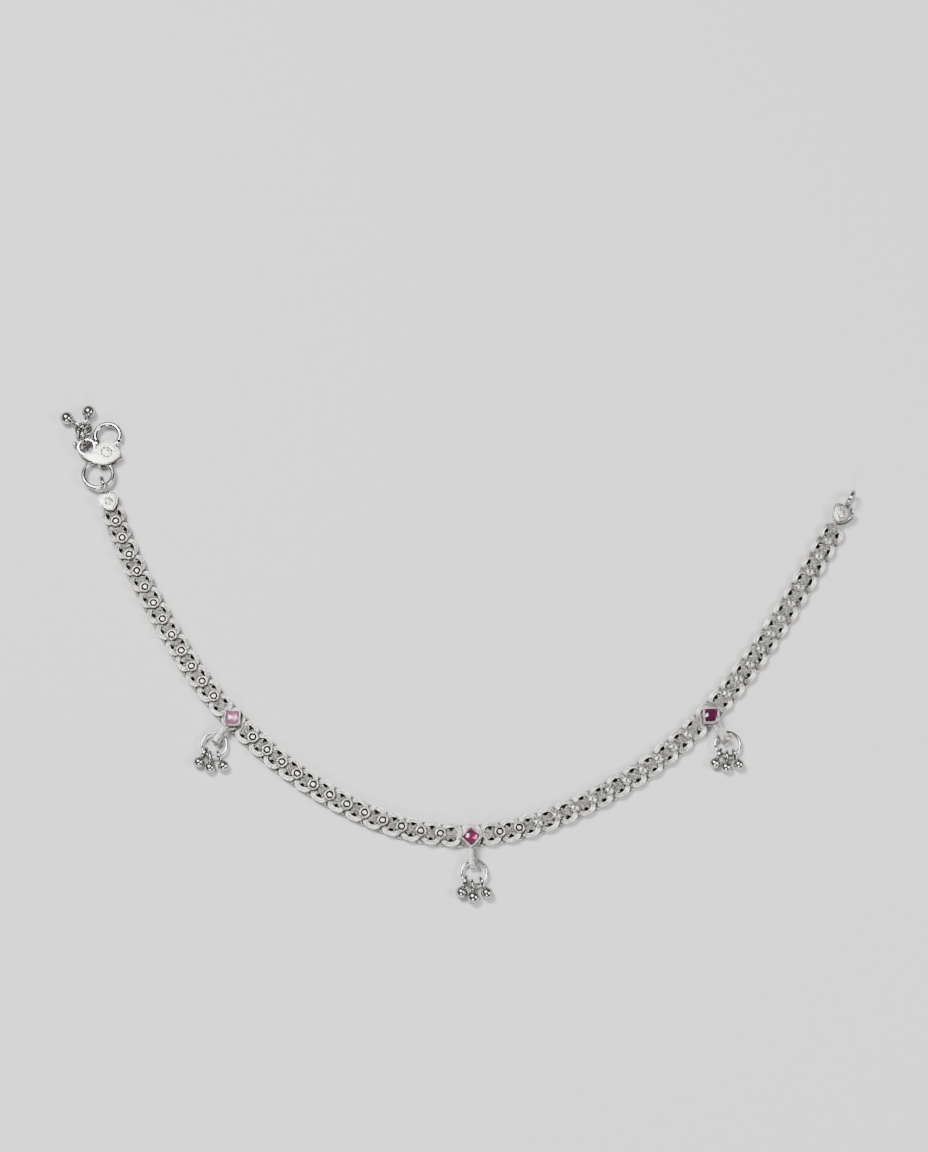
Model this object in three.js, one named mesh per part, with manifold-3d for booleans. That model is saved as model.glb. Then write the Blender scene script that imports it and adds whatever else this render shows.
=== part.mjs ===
// Payal anklet: a flat link chain laid open, with three stone settings, bell drops and a claw clasp.
// Millimetres, +Z up. The chain rests on z = 0 and bows towards -Y.
// The origin is the middle of the whole anklet's box, on the surface it rests on.
import * as THREE from 'three';
import { mergeVertices } from 'three/addons/utils/BufferGeometryUtils.js';
import Module from 'manifold-3d';

const wasm = await Module();
wasm.setup();

// ---------------------------------------------------------------- driving dimensions

const SEAT_GAP = 0.15; // clearance round a stone in its frame
const SOLDER = 0.12; // depth by which a bell's eye runs into its ball
const LIFT = 0.02; // height of the hanging pieces above the surface

// Centreline of the chain: equal arcs that run from the clasp end to the plain end.
const ROUTE_START = { x: -80.542, y: 34.278, heading: -70.8 };
const ROUTE_ARC_LENGTH = 20.16;
const ROUTE_ARC_TURNS = [8.3, 4.5, 11.7, 10.2, 13.5, 23.5, 21.5, 10.0, 13.2, 9.1, 4.0, 2.6];

const LINK = {
  count: 54,
  first: 1.6, // station of the first link's centre
  pitch: 4.469,
  halfLength: 2.08, // along the chain
  halfWidth: 2.75, // across the chain
  bottom: 0.8,
  top: 1.6,
  sides: 10,
  holeOffset: 1.45,
  holeRadius: 0.5,
  holeSides: 4,
};
const UNDER_LINK = { halfLength: 2.03, halfWidth: 2.6, sides: 8 };
const BRIDGE_TOP = 0.45; // thin under-link that reaches below a setting's own link
const BRIDGE_POST = { radius: 0.7, inset: 1.1 };
const STUD = { radius: 1.28, top: 2.3, lead: 1.75, leadGrowth: 0.65, sides: 6 };
const TONGUE = { halfWidth: 1.2, reach: 0.6 }; // end of the chain held between a cap's plates

// One row for each stone setting: the link it is soldered to, how far it sits from the
// centreline, the bail's lean from the chain's outward normal in degrees, and the drop ring's
// distance from the setting's centre.
const SETTINGS = [
  { name: 'left', link: 13, offset: 0.3, lean: 12.6, ringReach: 7.2, stone: 0xd9a3c4 },
  { name: 'centre', link: 27, offset: 0.8, lean: 2.7, ringReach: 7.95, stone: 0xb0487f },
  { name: 'right', link: 41, offset: 0.9, lean: -17.5, ringReach: 7.35, stone: 0x6b1247 },
];
const FRAME = { side: 3.75, bottom: 1.9, top: 3.25, wall: 0.42, floor: 2.3 };
const PEDESTAL = { radius: 1.1, bottom: 1.5, sides: 8 };
const STONE = { crown: 0.35, table: 0.55 };
const BAIL = {
  halfWidth: 1.0,
  thickness: 0.5,
  shoulder: 2.35, // where the strap leaves the frame
  loopCentre: 5.65,
  loopHeight: 1.4,
  loopRadius: 1.1,
  openAngle: 40,
  steps: 16,
};
const DROP_RING = { radius: 2.85, wire: 0.36, height: 1.38, steps: 22, sides: 5 };

// The bells of each drop. The eye's angle round the drop ring is measured from -Y, positive
// towards +X; x and y are the ball's centre from the ring's centre.
const DROP_BELLS = {
  left: [
    { angle: -49, x: -3.4, y: -4.15, ball: 2.5 },
    { angle: -18, x: -0.82, y: -5.45, ball: 2.6 },
    { angle: 24, x: 2.22, y: -5.1, ball: 2.6 },
  ],
  centre: [
    { angle: -46, x: -2.85, y: -4.55, ball: 2.65 },
    { angle: -8, x: -0.18, y: -5.75, ball: 2.85 },
    { angle: 38, x: 2.85, y: -4.8, ball: 2.75 },
  ],
  right: [
    { angle: -42, x: -3.0, y: -4.55, ball: 2.4 },
    { angle: -5, x: -0.44, y: -5.5, ball: 2.6 },
    { angle: 33, x: 2.44, y: -4.9, ball: 2.5 },
  ],
};
const BELL_EYE = { radius: 1.02, wire: 0.28, long: 1.3, steps: 10, sides: 5 };
const BALL = { around: 10, rows: 6 };

const CAP = {
  tip: 4.4, // how far the heart's tip reaches along the chain from its back edge
  halfWidth: 2.55,
  backZ: [0, 0.45],
  frontZ: [1.9, 2.75],
  backEdge: -3.95,
  spine: { from: -4.0, to: -2.75, halfWidth: 1.25 },
  eye: { radius: 1.7, wire: 0.42, centre: -6.15, height: 2.14, steps: 16, sides: 5 },
};

// The clasp's own frame has its origin at the centre of the hook's ring, seen from above.
const CLASP = {
  fromStart: { x: -1.6, y: 18.57 }, // hook centre, measured from the start of the route
  backZ: [0, 0.6],
  frontZ: [2.3, 2.9],
  hook: { radius: 2.9, wire: 0.65, height: 1.45, endAngle: -26, rootAngle: 226, steps: 22, sides: 8 },
  eye: { x: -4.7, y: -3.3, inner: 1.4, outer: 2.45, bottom: 1.95 },
  root: { x: -2.45, y: -2.35, radius: 0.85 },
  ringPost: { x: -1.7, y: -7.68, radius: 0.38 },
  pivot: { x: -1.5, y: -4.67, radius: 0.4, bore: 0.5, boss: 0.95 },
};
const LEVER = {
  bottom: 0.82,
  top: 2.08,
  tailTop: 1.62,
  tipRadius: 5.06, // distance of the gate's closing face from the pivot
  seam: 0.25,
};
const JUMP_RING = { radius: 3.48, wire: 0.58, x: -1.86, y: -9.95, height: 1.7, tilt: -4.5 };

// What hangs on the clasp's eye: a link standing through it, a flat ring, and three bells.
const DANGLE_LINK = { radius: 2.1, wire: 0.3, x: -5.1, y: -0.75, height: 2.62, turn: 81, lean: -13 };
const CLUSTER_RING = { radius: 1.75, wire: 0.28, x: -5.6, y: 1.0, height: 3.0, tilt: -15 };
const CLASP_BELLS = [
  { name: 'clasp_bell_1', ball: 3.1, x: -9.87, y: 4.42, height: 1.57, long: 1.9, heading: -39, rise: 16.2 },
  { name: 'clasp_bell_2', ball: 3.2, x: -4.7, y: 5.99, height: 1.62, long: 1.44, heading: -100.4, rise: 16.5 },
  { name: 'clasp_bell_3', ball: 2.3, x: -6.58, y: 0.26, height: 1.17, long: 1.2, heading: -97, rise: 76.3 },
];

const SILVER = { color: 0xe6e3de, roughness: 0.28, metalness: 1 };
const BRIGHT_SILVER = { color: 0xf0eeea, roughness: 0.16, metalness: 1 };

// ---------------------------------------------------------------- solids and placing

const radians = THREE.MathUtils.degToRad;

/** Turns a closed geometry, with an optional placing, into a solid that can be joined or cut. */
function solid(geometry, matrix) {
  const bare = new THREE.BufferGeometry();
  const indexed = geometry.index ? geometry : mergeVertices(geometry);
  bare.setAttribute('position', indexed.getAttribute('position').clone());
  bare.setIndex(indexed.index.clone());
  if (matrix) bare.applyMatrix4(matrix);
  const merged = mergeVertices(bare, 1e-4);
  return new wasm.Manifold(
    new wasm.Mesh({
      numProp: 3,
      vertProperties: new Float32Array(merged.getAttribute('position').array),
      triVerts: new Uint32Array(merged.index.array),
    }),
  );
}

/** Joins solids into one. */
function join(solids) {
  return solids.reduce((sum, next) => sum.add(next));
}

/** Makes a named mesh from a solid. */
function meshOf(name, body, finish) {
  const { vertProperties, triVerts } = body.getMesh();
  const geometry = new THREE.BufferGeometry();
  geometry.setAttribute('position', new THREE.BufferAttribute(new Float32Array(vertProperties), 3));
  geometry.setIndex(new THREE.BufferAttribute(new Uint32Array(triVerts), 1));
  geometry.computeVertexNormals();
  const mesh = new THREE.Mesh(geometry, new THREE.MeshStandardMaterial(finish));
  mesh.name = name;
  return mesh;
}

/** A matrix that turns about Z and then moves. */
function placing(x, y, z = 0, turn = 0) {
  return new THREE.Matrix4().makeTranslation(x, y, z).multiply(new THREE.Matrix4().makeRotationZ(turn));
}

/** Extrudes a flat outline between two heights. */
function slab(shape, bottom, top, curveSegments = 6) {
  const geometry = new THREE.ExtrudeGeometry(shape, { depth: top - bottom, bevelEnabled: false, curveSegments });
  return geometry.translate(0, 0, bottom);
}

/** An outline of straight sides round an ellipse. */
function ovalOutline(Outline, halfX, halfY, sides, x = 0, y = 0) {
  const outline = new Outline();
  for (let i = 0; i < sides; i += 1) {
    const angle = (2 * Math.PI * (i + 0.5)) / sides;
    const point = [x + halfX * Math.cos(angle), y + halfY * Math.sin(angle)];
    if (i === 0) outline.moveTo(...point);
    else outline.lineTo(...point);
  }
  outline.closePath();
  return outline;
}

/** An upright round post. */
function post(x, y, radius, bottom, top, sides = 10) {
  return solid(slab(ovalOutline(THREE.Shape, radius, radius, sides, x, y), bottom, top));
}

/** A flat box from low to high corner. */
function block(low, high) {
  const geometry = new THREE.BoxGeometry(high[0] - low[0], high[1] - low[1], high[2] - low[2]);
  return solid(geometry.translate(...low.map((value, axis) => (value + high[axis]) / 2)));
}

/** A strip of varying width along a line of {x, y, half} rows, between two heights. */
function strip(rows, bottom, top) {
  const left = [];
  const right = [];
  rows.forEach((row, i) => {
    const before = rows[Math.max(i - 1, 0)];
    const after = rows[Math.min(i + 1, rows.length - 1)];
    const along = new THREE.Vector2(after.x - before.x, after.y - before.y).normalize();
    left.push(new THREE.Vector2(row.x - along.y * row.half, row.y + along.x * row.half));
    right.unshift(new THREE.Vector2(row.x + along.y * row.half, row.y - along.x * row.half));
  });
  return solid(slab(new THREE.Shape([...left, ...right]), bottom, top));
}

// ---------------------------------------------------------------- the chain's route

/** Starting point and heading of each arc of the route. */
const arcStarts = ROUTE_ARC_TURNS.reduce(
  (starts, turn) => {
    const last = starts[starts.length - 1];
    return [...starts, advance(last, radians(turn) / ROUTE_ARC_LENGTH, ROUTE_ARC_LENGTH)];
  },
  [{ x: ROUTE_START.x, y: ROUTE_START.y, heading: radians(ROUTE_START.heading) }],
);

/** Moves a point along an arc of the given curvature. */
function advance(start, curvature, length) {
  const heading = start.heading + curvature * length;
  return {
    x: start.x + (Math.sin(heading) - Math.sin(start.heading)) / curvature,
    y: start.y - (Math.cos(heading) - Math.cos(start.heading)) / curvature,
    heading,
  };
}

/** Point and heading at a station, which may lie a little before or beyond the route. */
function routeAt(station) {
  const last = ROUTE_ARC_TURNS.length - 1;
  const arc = Math.min(Math.max(Math.floor(station / ROUTE_ARC_LENGTH), 0), last);
  const curvature = radians(ROUTE_ARC_TURNS[arc]) / ROUTE_ARC_LENGTH;
  return advance(arcStarts[arc], curvature, station - arc * ROUTE_ARC_LENGTH);
}

/** Matrix of the frame at a station: X along the chain, Y to the inside of the bow. */
function frameAt(station) {
  const { x, y, heading } = routeAt(station);
  return placing(x, y, 0, heading);
}

const routeLength = ROUTE_ARC_LENGTH * ROUTE_ARC_TURNS.length;
const linkStation = (index) => LINK.first + index * LINK.pitch;

// ---------------------------------------------------------------- chain

/** An oval link with its two small holes. */
function linkSolid(index) {
  const shape = ovalOutline(THREE.Shape, LINK.halfLength, LINK.halfWidth, LINK.sides);
  for (const side of [-1, 1]) {
    const y = side * LINK.holeOffset;
    shape.holes.push(ovalOutline(THREE.Path, LINK.holeRadius, LINK.holeRadius, LINK.holeSides, 0, y));
  }
  return solid(slab(shape, LINK.bottom, LINK.top), frameAt(linkStation(index)));
}

/** An under-link that ties two neighbouring links together. */
function underLinkSolid(index, top) {
  const shape = ovalOutline(THREE.Shape, UNDER_LINK.halfLength, UNDER_LINK.halfWidth, UNDER_LINK.sides);
  return solid(slab(shape, 0, top), frameAt(linkStation(index + 0.5)));
}

/** The thin under-link beside a setting, with the post that ties it to its own link. */
function bridgeSolids(index, towards) {
  const { x, y } = routeAt(linkStation(index + 0.5) - towards * BRIDGE_POST.inset);
  return [underLinkSolid(index, BRIDGE_TOP), post(x, y, BRIDGE_POST.radius, 0.2, LINK.bottom + 0.4, 8)];
}

/** The round stud ahead of a link; studs drift forward along the chain. */
function studSolid(index) {
  const station = linkStation(index) + STUD.lead + (STUD.leadGrowth * index) / LINK.count;
  const { x, y } = routeAt(station);
  return post(x, y, STUD.radius, LINK.top, STUD.top, STUD.sides);
}

/** The tongue by which an end link is held in its cap. */
function tongueSolid(from, to) {
  const middle = frameAt((from + to) / 2);
  const half = Math.abs(to - from) / 2;
  const geometry = new THREE.BoxGeometry(2 * half, 2 * TONGUE.halfWidth, LINK.top - LINK.bottom - 0.2);
  return solid(geometry.translate(0, 0, (LINK.top + LINK.bottom) / 2), middle);
}

/** One stretch of chain from its first to its last link. */
function chainStretch(name, first, last) {
  const solids = [];
  for (let i = first; i <= last; i += 1) {
    solids.push(linkSolid(i));
    if (i < last) solids.push(underLinkSolid(i, LINK.bottom), studSolid(i));
  }
  if (first > 0) solids.push(...bridgeSolids(first - 1, -1));
  else solids.push(tongueSolid(-CAP.spine.halfWidth - TONGUE.reach, LINK.first));
  if (last < LINK.count - 1) solids.push(...bridgeSolids(last, 1));
  else solids.push(tongueSolid(linkStation(last), linkStation(last) + LINK.first + TONGUE.reach + CAP.spine.halfWidth));
  return meshOf(name, join(solids), SILVER);
}

function buildChain() {
  const group = new THREE.Group();
  const bounds = [-1, ...SETTINGS.map((setting) => setting.link), LINK.count];
  for (let i = 0; i + 1 < bounds.length; i += 1) {
    group.add(chainStretch(`chain_${i + 1}`, bounds[i] + 1, bounds[i + 1] - 1));
  }
  return group;
}

// ---------------------------------------------------------------- settings and drops

/** Bail strap in profile: out from the frame, over the loop and back underneath. */
function bailSolid() {
  const { shoulder, loopCentre, loopHeight, loopRadius, thickness, openAngle, steps } = BAIL;
  const outer = loopRadius + thickness / 2;
  const inner = loopRadius - thickness / 2;
  const profile = new THREE.Shape();
  profile.moveTo(shoulder, loopHeight + outer);
  profile.lineTo(loopCentre, loopHeight + outer);
  profile.absarc(loopCentre, loopHeight, outer, Math.PI / 2, -Math.PI / 2 - radians(openAngle), true);
  profile.absarc(loopCentre, loopHeight, inner, -Math.PI / 2 - radians(openAngle), Math.PI / 2, false);
  profile.lineTo(shoulder, loopHeight + inner);
  profile.closePath();
  const geometry = new THREE.ExtrudeGeometry(profile, {
    depth: 2 * BAIL.halfWidth,
    bevelEnabled: false,
    curveSegments: steps,
  });
  geometry.translate(0, 0, -BAIL.halfWidth);
  // The profile's X runs outwards (-Y of the chain's frame) and its Y runs up.
  return geometry.applyMatrix4(
    new THREE.Matrix4().makeBasis(
      new THREE.Vector3(0, -1, 0),
      new THREE.Vector3(0, 0, 1),
      new THREE.Vector3(-1, 0, 0),
    ),
  );
}

/** A square prism standing on its corner across the chain. */
function diamond(side, bottom, top) {
  const half = side / Math.SQRT2;
  const corners = [
    new THREE.Vector2(half, 0),
    new THREE.Vector2(0, half),
    new THREE.Vector2(-half, 0),
    new THREE.Vector2(0, -half),
  ];
  return solid(slab(new THREE.Shape(corners), bottom, top));
}

/** The frame, its pedestal and bail, soldered to the link that carries them. */
function settingMesh(setting) {
  const seat = FRAME.side - 2 * FRAME.wall;
  const shift = new THREE.Matrix4().makeTranslation(0, -setting.offset, 0);
  const lean = new THREE.Matrix4().makeRotationZ(radians(setting.lean));
  const bail = solid(bailSolid(), shift.clone().multiply(lean));
  const box = diamond(FRAME.side, FRAME.bottom, FRAME.top).subtract(diamond(seat, FRAME.floor, FRAME.top + 1));
  const holder = join([box.translate(0, -setting.offset, 0), bail]);
  const pedestal = post(0, -setting.offset / 2, PEDESTAL.radius, PEDESTAL.bottom, FRAME.bottom + 0.2, PEDESTAL.sides);
  const local = join([holder, pedestal]);
  const { x, y, heading } = routeAt(linkStation(setting.link));
  const placed = local.rotate(0, 0, THREE.MathUtils.radToDeg(heading)).translate(x, y, 0);
  return meshOf(`setting_${setting.name}`, placed.add(linkSolid(setting.link)), SILVER);
}

/** Square stone with a bevelled crown, seated in the frame with a small gap. */
function stoneMesh(setting) {
  const seat = FRAME.side - 2 * FRAME.wall;
  const base = FRAME.floor + SEAT_GAP;
  const girdle = FRAME.top - STONE.crown;
  const side = seat - 2 * SEAT_GAP;
  const half = side / Math.SQRT2;
  const body = new THREE.CylinderGeometry(half, half, girdle - base, 4);
  body.translate(0, (girdle + base) / 2, 0);
  const crown = new THREE.CylinderGeometry(half * STONE.table, half, STONE.crown + 0.1, 4);
  crown.translate(0, girdle + (STONE.crown + 0.1) / 2, 0);
  const upright = new THREE.Matrix4().makeRotationX(Math.PI / 2);
  const shift = frameAt(linkStation(setting.link)).multiply(
    new THREE.Matrix4().makeTranslation(0, -setting.offset, 0),
  );
  const place = shift.multiply(upright);
  const stone = join([solid(body, place), solid(crown, place)]);
  return meshOf(`stone_${setting.name}`, stone, { color: setting.stone, roughness: 0.08, metalness: 0 });
}

/** Centre of a setting's drop ring, in the anklet's frame. */
function dropCentre(setting) {
  const reach = setting.ringReach;
  const lean = radians(setting.lean);
  const local = new THREE.Vector3(reach * Math.sin(lean), -setting.offset - reach * Math.cos(lean), 0);
  return local.applyMatrix4(frameAt(linkStation(setting.link)));
}

function dropRingMesh(setting) {
  const { radius, wire, sides, steps, height } = DROP_RING;
  const centre = dropCentre(setting);
  const ring = new THREE.TorusGeometry(radius, wire, sides, steps);
  return meshOf(`drop_ring_${setting.name}`, solid(ring, placing(centre.x, centre.y, height)), SILVER);
}

/** A ring drawn out along X into an oval, of even wire. */
function ovalRing({ radius, wire, long, steps, sides }) {
  const ring = new THREE.TorusGeometry(radius, wire, sides, steps);
  const position = ring.getAttribute('position');
  for (let i = 0; i < position.count; i += 1) {
    const angle = Math.atan2(position.getY(i), position.getX(i));
    position.setX(i, position.getX(i) + (long - radius) * Math.cos(angle));
  }
  return ring;
}

/** A ball at the origin with its upright oval eye towards +X. */
function bellSolid(ball, long) {
  const reach = ball / 2 + long - SOLDER;
  const sphere = new THREE.SphereGeometry(ball / 2, BALL.around, BALL.rows);
  const upright = new THREE.Matrix4()
    .makeTranslation(reach, 0, 0)
    .multiply(new THREE.Matrix4().makeRotationX(Math.PI / 2));
  return join([solid(sphere), solid(ovalRing({ ...BELL_EYE, long }), upright)]);
}

/** The three bells of a drop, each hung on the ring by its eye. */
function dropBellMeshes(setting) {
  const centre = dropCentre(setting);
  return DROP_BELLS[setting.name].map((bell, i) => {
    const held = {
      x: DROP_RING.radius * Math.sin(radians(bell.angle)),
      y: -DROP_RING.radius * Math.cos(radians(bell.angle)),
    };
    const heading = THREE.MathUtils.radToDeg(Math.atan2(held.y - bell.y, held.x - bell.x));
    const height = Math.max(bell.ball / 2, BELL_EYE.radius + BELL_EYE.wire) + LIFT;
    const body = bellSolid(bell.ball, BELL_EYE.long).rotate(0, 0, heading);
    const placed = body.translate(centre.x + bell.x, centre.y + bell.y, height);
    return meshOf(`${setting.name}_bell_${i + 1}`, placed, BRIGHT_SILVER);
  });
}

function buildSetting(setting) {
  const group = new THREE.Group();
  group.add(settingMesh(setting), stoneMesh(setting), dropRingMesh(setting), ...dropBellMeshes(setting));
  return group;
}

// ---------------------------------------------------------------- end caps

/** Heart outline with its tip towards +X and its two lobes at the back edge. */
function heartShape() {
  const { halfWidth, tip, backEdge } = CAP;
  const end = backEdge + tip + 0.4;
  const lobe = halfWidth / 2;
  const shape = new THREE.Shape();
  shape.moveTo(backEdge + 0.35, 0);
  shape.absarc(backEdge + lobe, -lobe, lobe, Math.PI * 0.75, Math.PI * 1.6, false);
  shape.quadraticCurveTo(end - 1.0, -halfWidth * 0.75, end, 0);
  shape.quadraticCurveTo(end - 1.0, halfWidth * 0.75, backEdge + lobe + 0.38, halfWidth - 0.07);
  shape.absarc(backEdge + lobe, lobe, lobe, Math.PI * 0.4, Math.PI * 1.25, false);
  shape.closePath();
  return shape;
}

/** Heart-shaped cap: two plates, the spine behind them and an upright eye, for a +X chain. */
function capSolid() {
  const { backZ, frontZ, spine, eye } = CAP;
  const ring = new THREE.TorusGeometry(eye.radius, eye.wire, eye.sides, eye.steps);
  const upright = new THREE.Matrix4()
    .makeTranslation(eye.centre, 0, eye.height)
    .multiply(new THREE.Matrix4().makeRotationX(Math.PI / 2));
  return join([
    solid(slab(heartShape(), ...backZ, 4)),
    solid(slab(heartShape(), ...frontZ, 4)),
    block([spine.from, -spine.halfWidth, backZ[0] + 0.1], [spine.to, spine.halfWidth, frontZ[1] - 0.1]),
    block([eye.centre + eye.radius - 0.2, -0.5, 1.0], [spine.from + 0.3, 0.5, 2.4]),
    solid(ring, upright),
  ]);
}

function buildCaps() {
  const group = new THREE.Group();
  const start = routeAt(0);
  const end = routeAt(routeLength);
  const left = capSolid().rotate(0, 0, THREE.MathUtils.radToDeg(start.heading)).translate(start.x, start.y, 0);
  const right = capSolid().rotate(0, 0, THREE.MathUtils.radToDeg(end.heading) + 180).translate(end.x, end.y, 0);
  group.add(meshOf('end_cap_left', left, SILVER), meshOf('end_cap_right', right, SILVER));
  return group;
}

// ---------------------------------------------------------------- clasp

/** Heart part of the clasp's plates, with its tip to the right. */
function claspHeart() {
  const shape = new THREE.Shape();
  shape.moveTo(-3.5, -3.7);
  shape.quadraticCurveTo(-2.6, -2.3, -1.5, -2.25);
  shape.absarc(0.1, -3.4, 1.85, Math.PI * 0.8, Math.PI * 0.2, true);
  shape.lineTo(3.1, -4.1);
  shape.quadraticCurveTo(3.6, -4.9, 3.35, -5.6);
  shape.quadraticCurveTo(1.2, -7.9, -0.9, -7.85);
  shape.quadraticCurveTo(-3.6, -7.6, -5.9, -5.4);
  shape.closePath();
  return shape;
}

/** The eye at the side of the front plate. */
function claspEyeShape() {
  const { x, y, inner, outer } = CLASP.eye;
  const shape = ovalOutline(THREE.Shape, outer, outer, 20, x, y);
  shape.holes.push(ovalOutline(THREE.Path, inner, inner, 16, x, y));
  return shape;
}

/** The hook: most of a ring, with its end face cut to the circle that the gate swings on. */
function hookSolid() {
  const { radius, wire, height, endAngle, rootAngle, steps, sides } = CLASP.hook;
  const sweep = radians(rootAngle - endAngle);
  const points = [];
  for (let i = 0; i <= steps; i += 1) {
    const angle = radians(endAngle - 6) + ((sweep + radians(6)) * i) / steps;
    points.push(new THREE.Vector3(radius * Math.cos(angle), radius * Math.sin(angle), height));
  }
  const section = ovalOutline(THREE.Shape, wire, wire, sides);
  const path = new THREE.CatmullRomCurve3(points);
  const wireSolid = solid(new THREE.ExtrudeGeometry(section, { steps, extrudePath: path, bevelEnabled: false }));
  const { x, y } = CLASP.pivot;
  const swing = post(x, y, LEVER.tipRadius + LEVER.seam, -1, 4, 72);
  return wireSolid.subtract(swing.intersect(block([1.2, -6, -1], [6, 1, 4])));
}

function claspBodyMesh() {
  const { backZ, frontZ, eye, root, ringPost, pivot } = CLASP;
  const inside = [backZ[1] - 0.1, frontZ[0] + 0.1];
  const pad = 0.55;
  const body = join([
    solid(slab(claspHeart(), ...backZ)),
    solid(slab(claspHeart(), ...frontZ)).subtract(post(eye.x, eye.y, eye.inner, 0, 4, 16)),
    solid(slab(claspEyeShape(), eye.bottom, frontZ[1])),
    post(root.x, root.y, root.radius, 0.2, frontZ[0] + pad),
    post(ringPost.x, ringPost.y, ringPost.radius, ...inside),
    post(pivot.x, pivot.y, pivot.radius, ...inside, 12),
    hookSolid(),
  ]);
  return meshOf('clasp_body', body.subtract(post(eye.x, eye.y, eye.inner, -1, 1.5, 16)), BRIGHT_SILVER);
}

/** Lever on the clasp's pivot: a gate that closes the hook and a tail with a thumb knob. */
function claspLeverMesh() {
  const { pivot, hook, eye } = CLASP;
  const { bottom, top, tailTop, tipRadius } = LEVER;
  const onHook = (angle, half) => ({
    x: hook.radius * Math.cos(radians(angle)),
    y: hook.radius * Math.sin(radians(angle)),
    half,
  });
  const gate = strip(
    [{ x: pivot.x + 0.2, y: pivot.y + 0.1, half: 0.5 }, { x: 0.4, y: -3.6, half: 0.45 }, onHook(-55, 0.5),
      onHook(-42, 0.58), onHook(-30, 0.62), onHook(-18, 0.62)],
    bottom,
    top,
  ).intersect(post(pivot.x, pivot.y, tipRadius, 0, 4, 72));
  const tailRadius = 2.0;
  const tail = [{ x: pivot.x - 0.2, y: pivot.y, half: 0.45 }, { x: -2.6, y: -4.85, half: 0.42 }];
  for (let angle = -62; angle >= -190; angle -= 16) {
    tail.push({
      x: eye.x + tailRadius * Math.cos(radians(angle)),
      y: eye.y + tailRadius * Math.sin(radians(angle)),
      half: 0.42,
    });
  }
  const knobAngle = radians(160);
  const knob = post(eye.x + 3.15 * Math.cos(knobAngle), eye.y + 3.15 * Math.sin(knobAngle), 0.55, 0.62, 2.3, 10);
  const neck = strip(
    [{ x: eye.x - tailRadius, y: eye.y + 0.3, half: 0.4 },
      { x: eye.x + 3.1 * Math.cos(knobAngle), y: eye.y + 3.1 * Math.sin(knobAngle), half: 0.4 }],
    bottom,
    tailTop,
  );
  const boss = post(pivot.x, pivot.y, pivot.boss, bottom, tailTop, 14);
  const body = join([gate, strip(tail, bottom, tailTop), neck, knob, boss]);
  return meshOf('clasp_lever', body.subtract(post(pivot.x, pivot.y, pivot.bore, 0, 4, 12)), BRIGHT_SILVER);
}

function jumpRingMesh() {
  const { radius, wire, x, y, height, tilt } = JUMP_RING;
  const ring = new THREE.TorusGeometry(radius, wire, 7, 24);
  const place = placing(x, y, height).multiply(new THREE.Matrix4().makeRotationX(radians(tilt)));
  return meshOf('clasp_jump_ring', solid(ring, place), BRIGHT_SILVER);
}

/** The link that stands through the clasp's eye, nearly upright. */
function dangleLinkMesh() {
  const { radius, wire, x, y, height, turn, lean } = DANGLE_LINK;
  const ring = new THREE.TorusGeometry(radius, wire, 6, 20);
  const place = placing(x, y, height, radians(turn))
    .multiply(new THREE.Matrix4().makeRotationX(Math.PI / 2 + radians(lean)));
  return meshOf('clasp_dangle_link', solid(ring, place), BRIGHT_SILVER);
}

function clusterRingMesh() {
  const { radius, wire, x, y, height, tilt } = CLUSTER_RING;
  const ring = new THREE.TorusGeometry(radius, wire, 6, 20);
  const place = placing(x, y, height).multiply(new THREE.Matrix4().makeRotationX(radians(tilt)));
  return meshOf('clasp_cluster_ring', solid(ring, place), BRIGHT_SILVER);
}

function claspBellMesh(bell) {
  const body = bellSolid(bell.ball, bell.long);
  const placed = body.rotate(0, -bell.rise, 0).rotate(0, 0, bell.heading).translate(bell.x, bell.y, bell.height);
  return meshOf(bell.name, placed, BRIGHT_SILVER);
}

function buildClasp() {
  const group = new THREE.Group();
  group.position.set(ROUTE_START.x + CLASP.fromStart.x, ROUTE_START.y + CLASP.fromStart.y, 0);
  group.add(claspBodyMesh(), claspLeverMesh(), jumpRingMesh(), dangleLinkMesh(), clusterRingMesh());
  CLASP_BELLS.forEach((bell) => group.add(claspBellMesh(bell)));
  return group;
}

// ---------------------------------------------------------------- the anklet

const anklet = new THREE.Group();
anklet.add(buildChain(), ...SETTINGS.map(buildSetting), buildCaps(), buildClasp());

export default anklet;
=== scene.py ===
"""Payal anklet laid open on a pale surface: link chain, stone settings, bell drops and claw clasp.

Lengths inside the classes are millimetres in the anklet's frame, with +Z up; meshes are written in
metres. The chain's route repeats the numbers of the CAD model.
"""

import logging
import math
from collections.abc import Callable, Sequence
from dataclasses import dataclass, field
from enum import Enum

import bmesh
import bpy
import numpy as np
from mathutils import Matrix, Vector

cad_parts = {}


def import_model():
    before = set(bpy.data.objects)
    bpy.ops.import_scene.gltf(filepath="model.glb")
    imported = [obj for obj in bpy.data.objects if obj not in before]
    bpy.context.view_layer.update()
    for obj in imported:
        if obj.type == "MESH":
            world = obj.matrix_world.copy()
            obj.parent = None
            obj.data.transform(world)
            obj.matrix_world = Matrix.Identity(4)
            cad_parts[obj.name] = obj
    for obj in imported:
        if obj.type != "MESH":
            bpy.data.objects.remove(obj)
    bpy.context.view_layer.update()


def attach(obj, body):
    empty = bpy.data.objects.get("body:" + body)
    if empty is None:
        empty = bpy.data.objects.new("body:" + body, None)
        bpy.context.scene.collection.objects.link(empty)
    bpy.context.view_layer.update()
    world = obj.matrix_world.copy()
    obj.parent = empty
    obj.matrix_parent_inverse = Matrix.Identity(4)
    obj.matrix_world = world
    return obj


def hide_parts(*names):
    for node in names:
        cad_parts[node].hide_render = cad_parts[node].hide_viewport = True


LOG = logging.getLogger("anklet")
METRES = 0.001
Array = np.ndarray


class Body(Enum):
    """The rigid bodies that the pieces ride on."""

    ANKLET = "anklet"
    LEVER = "lever"


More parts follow.
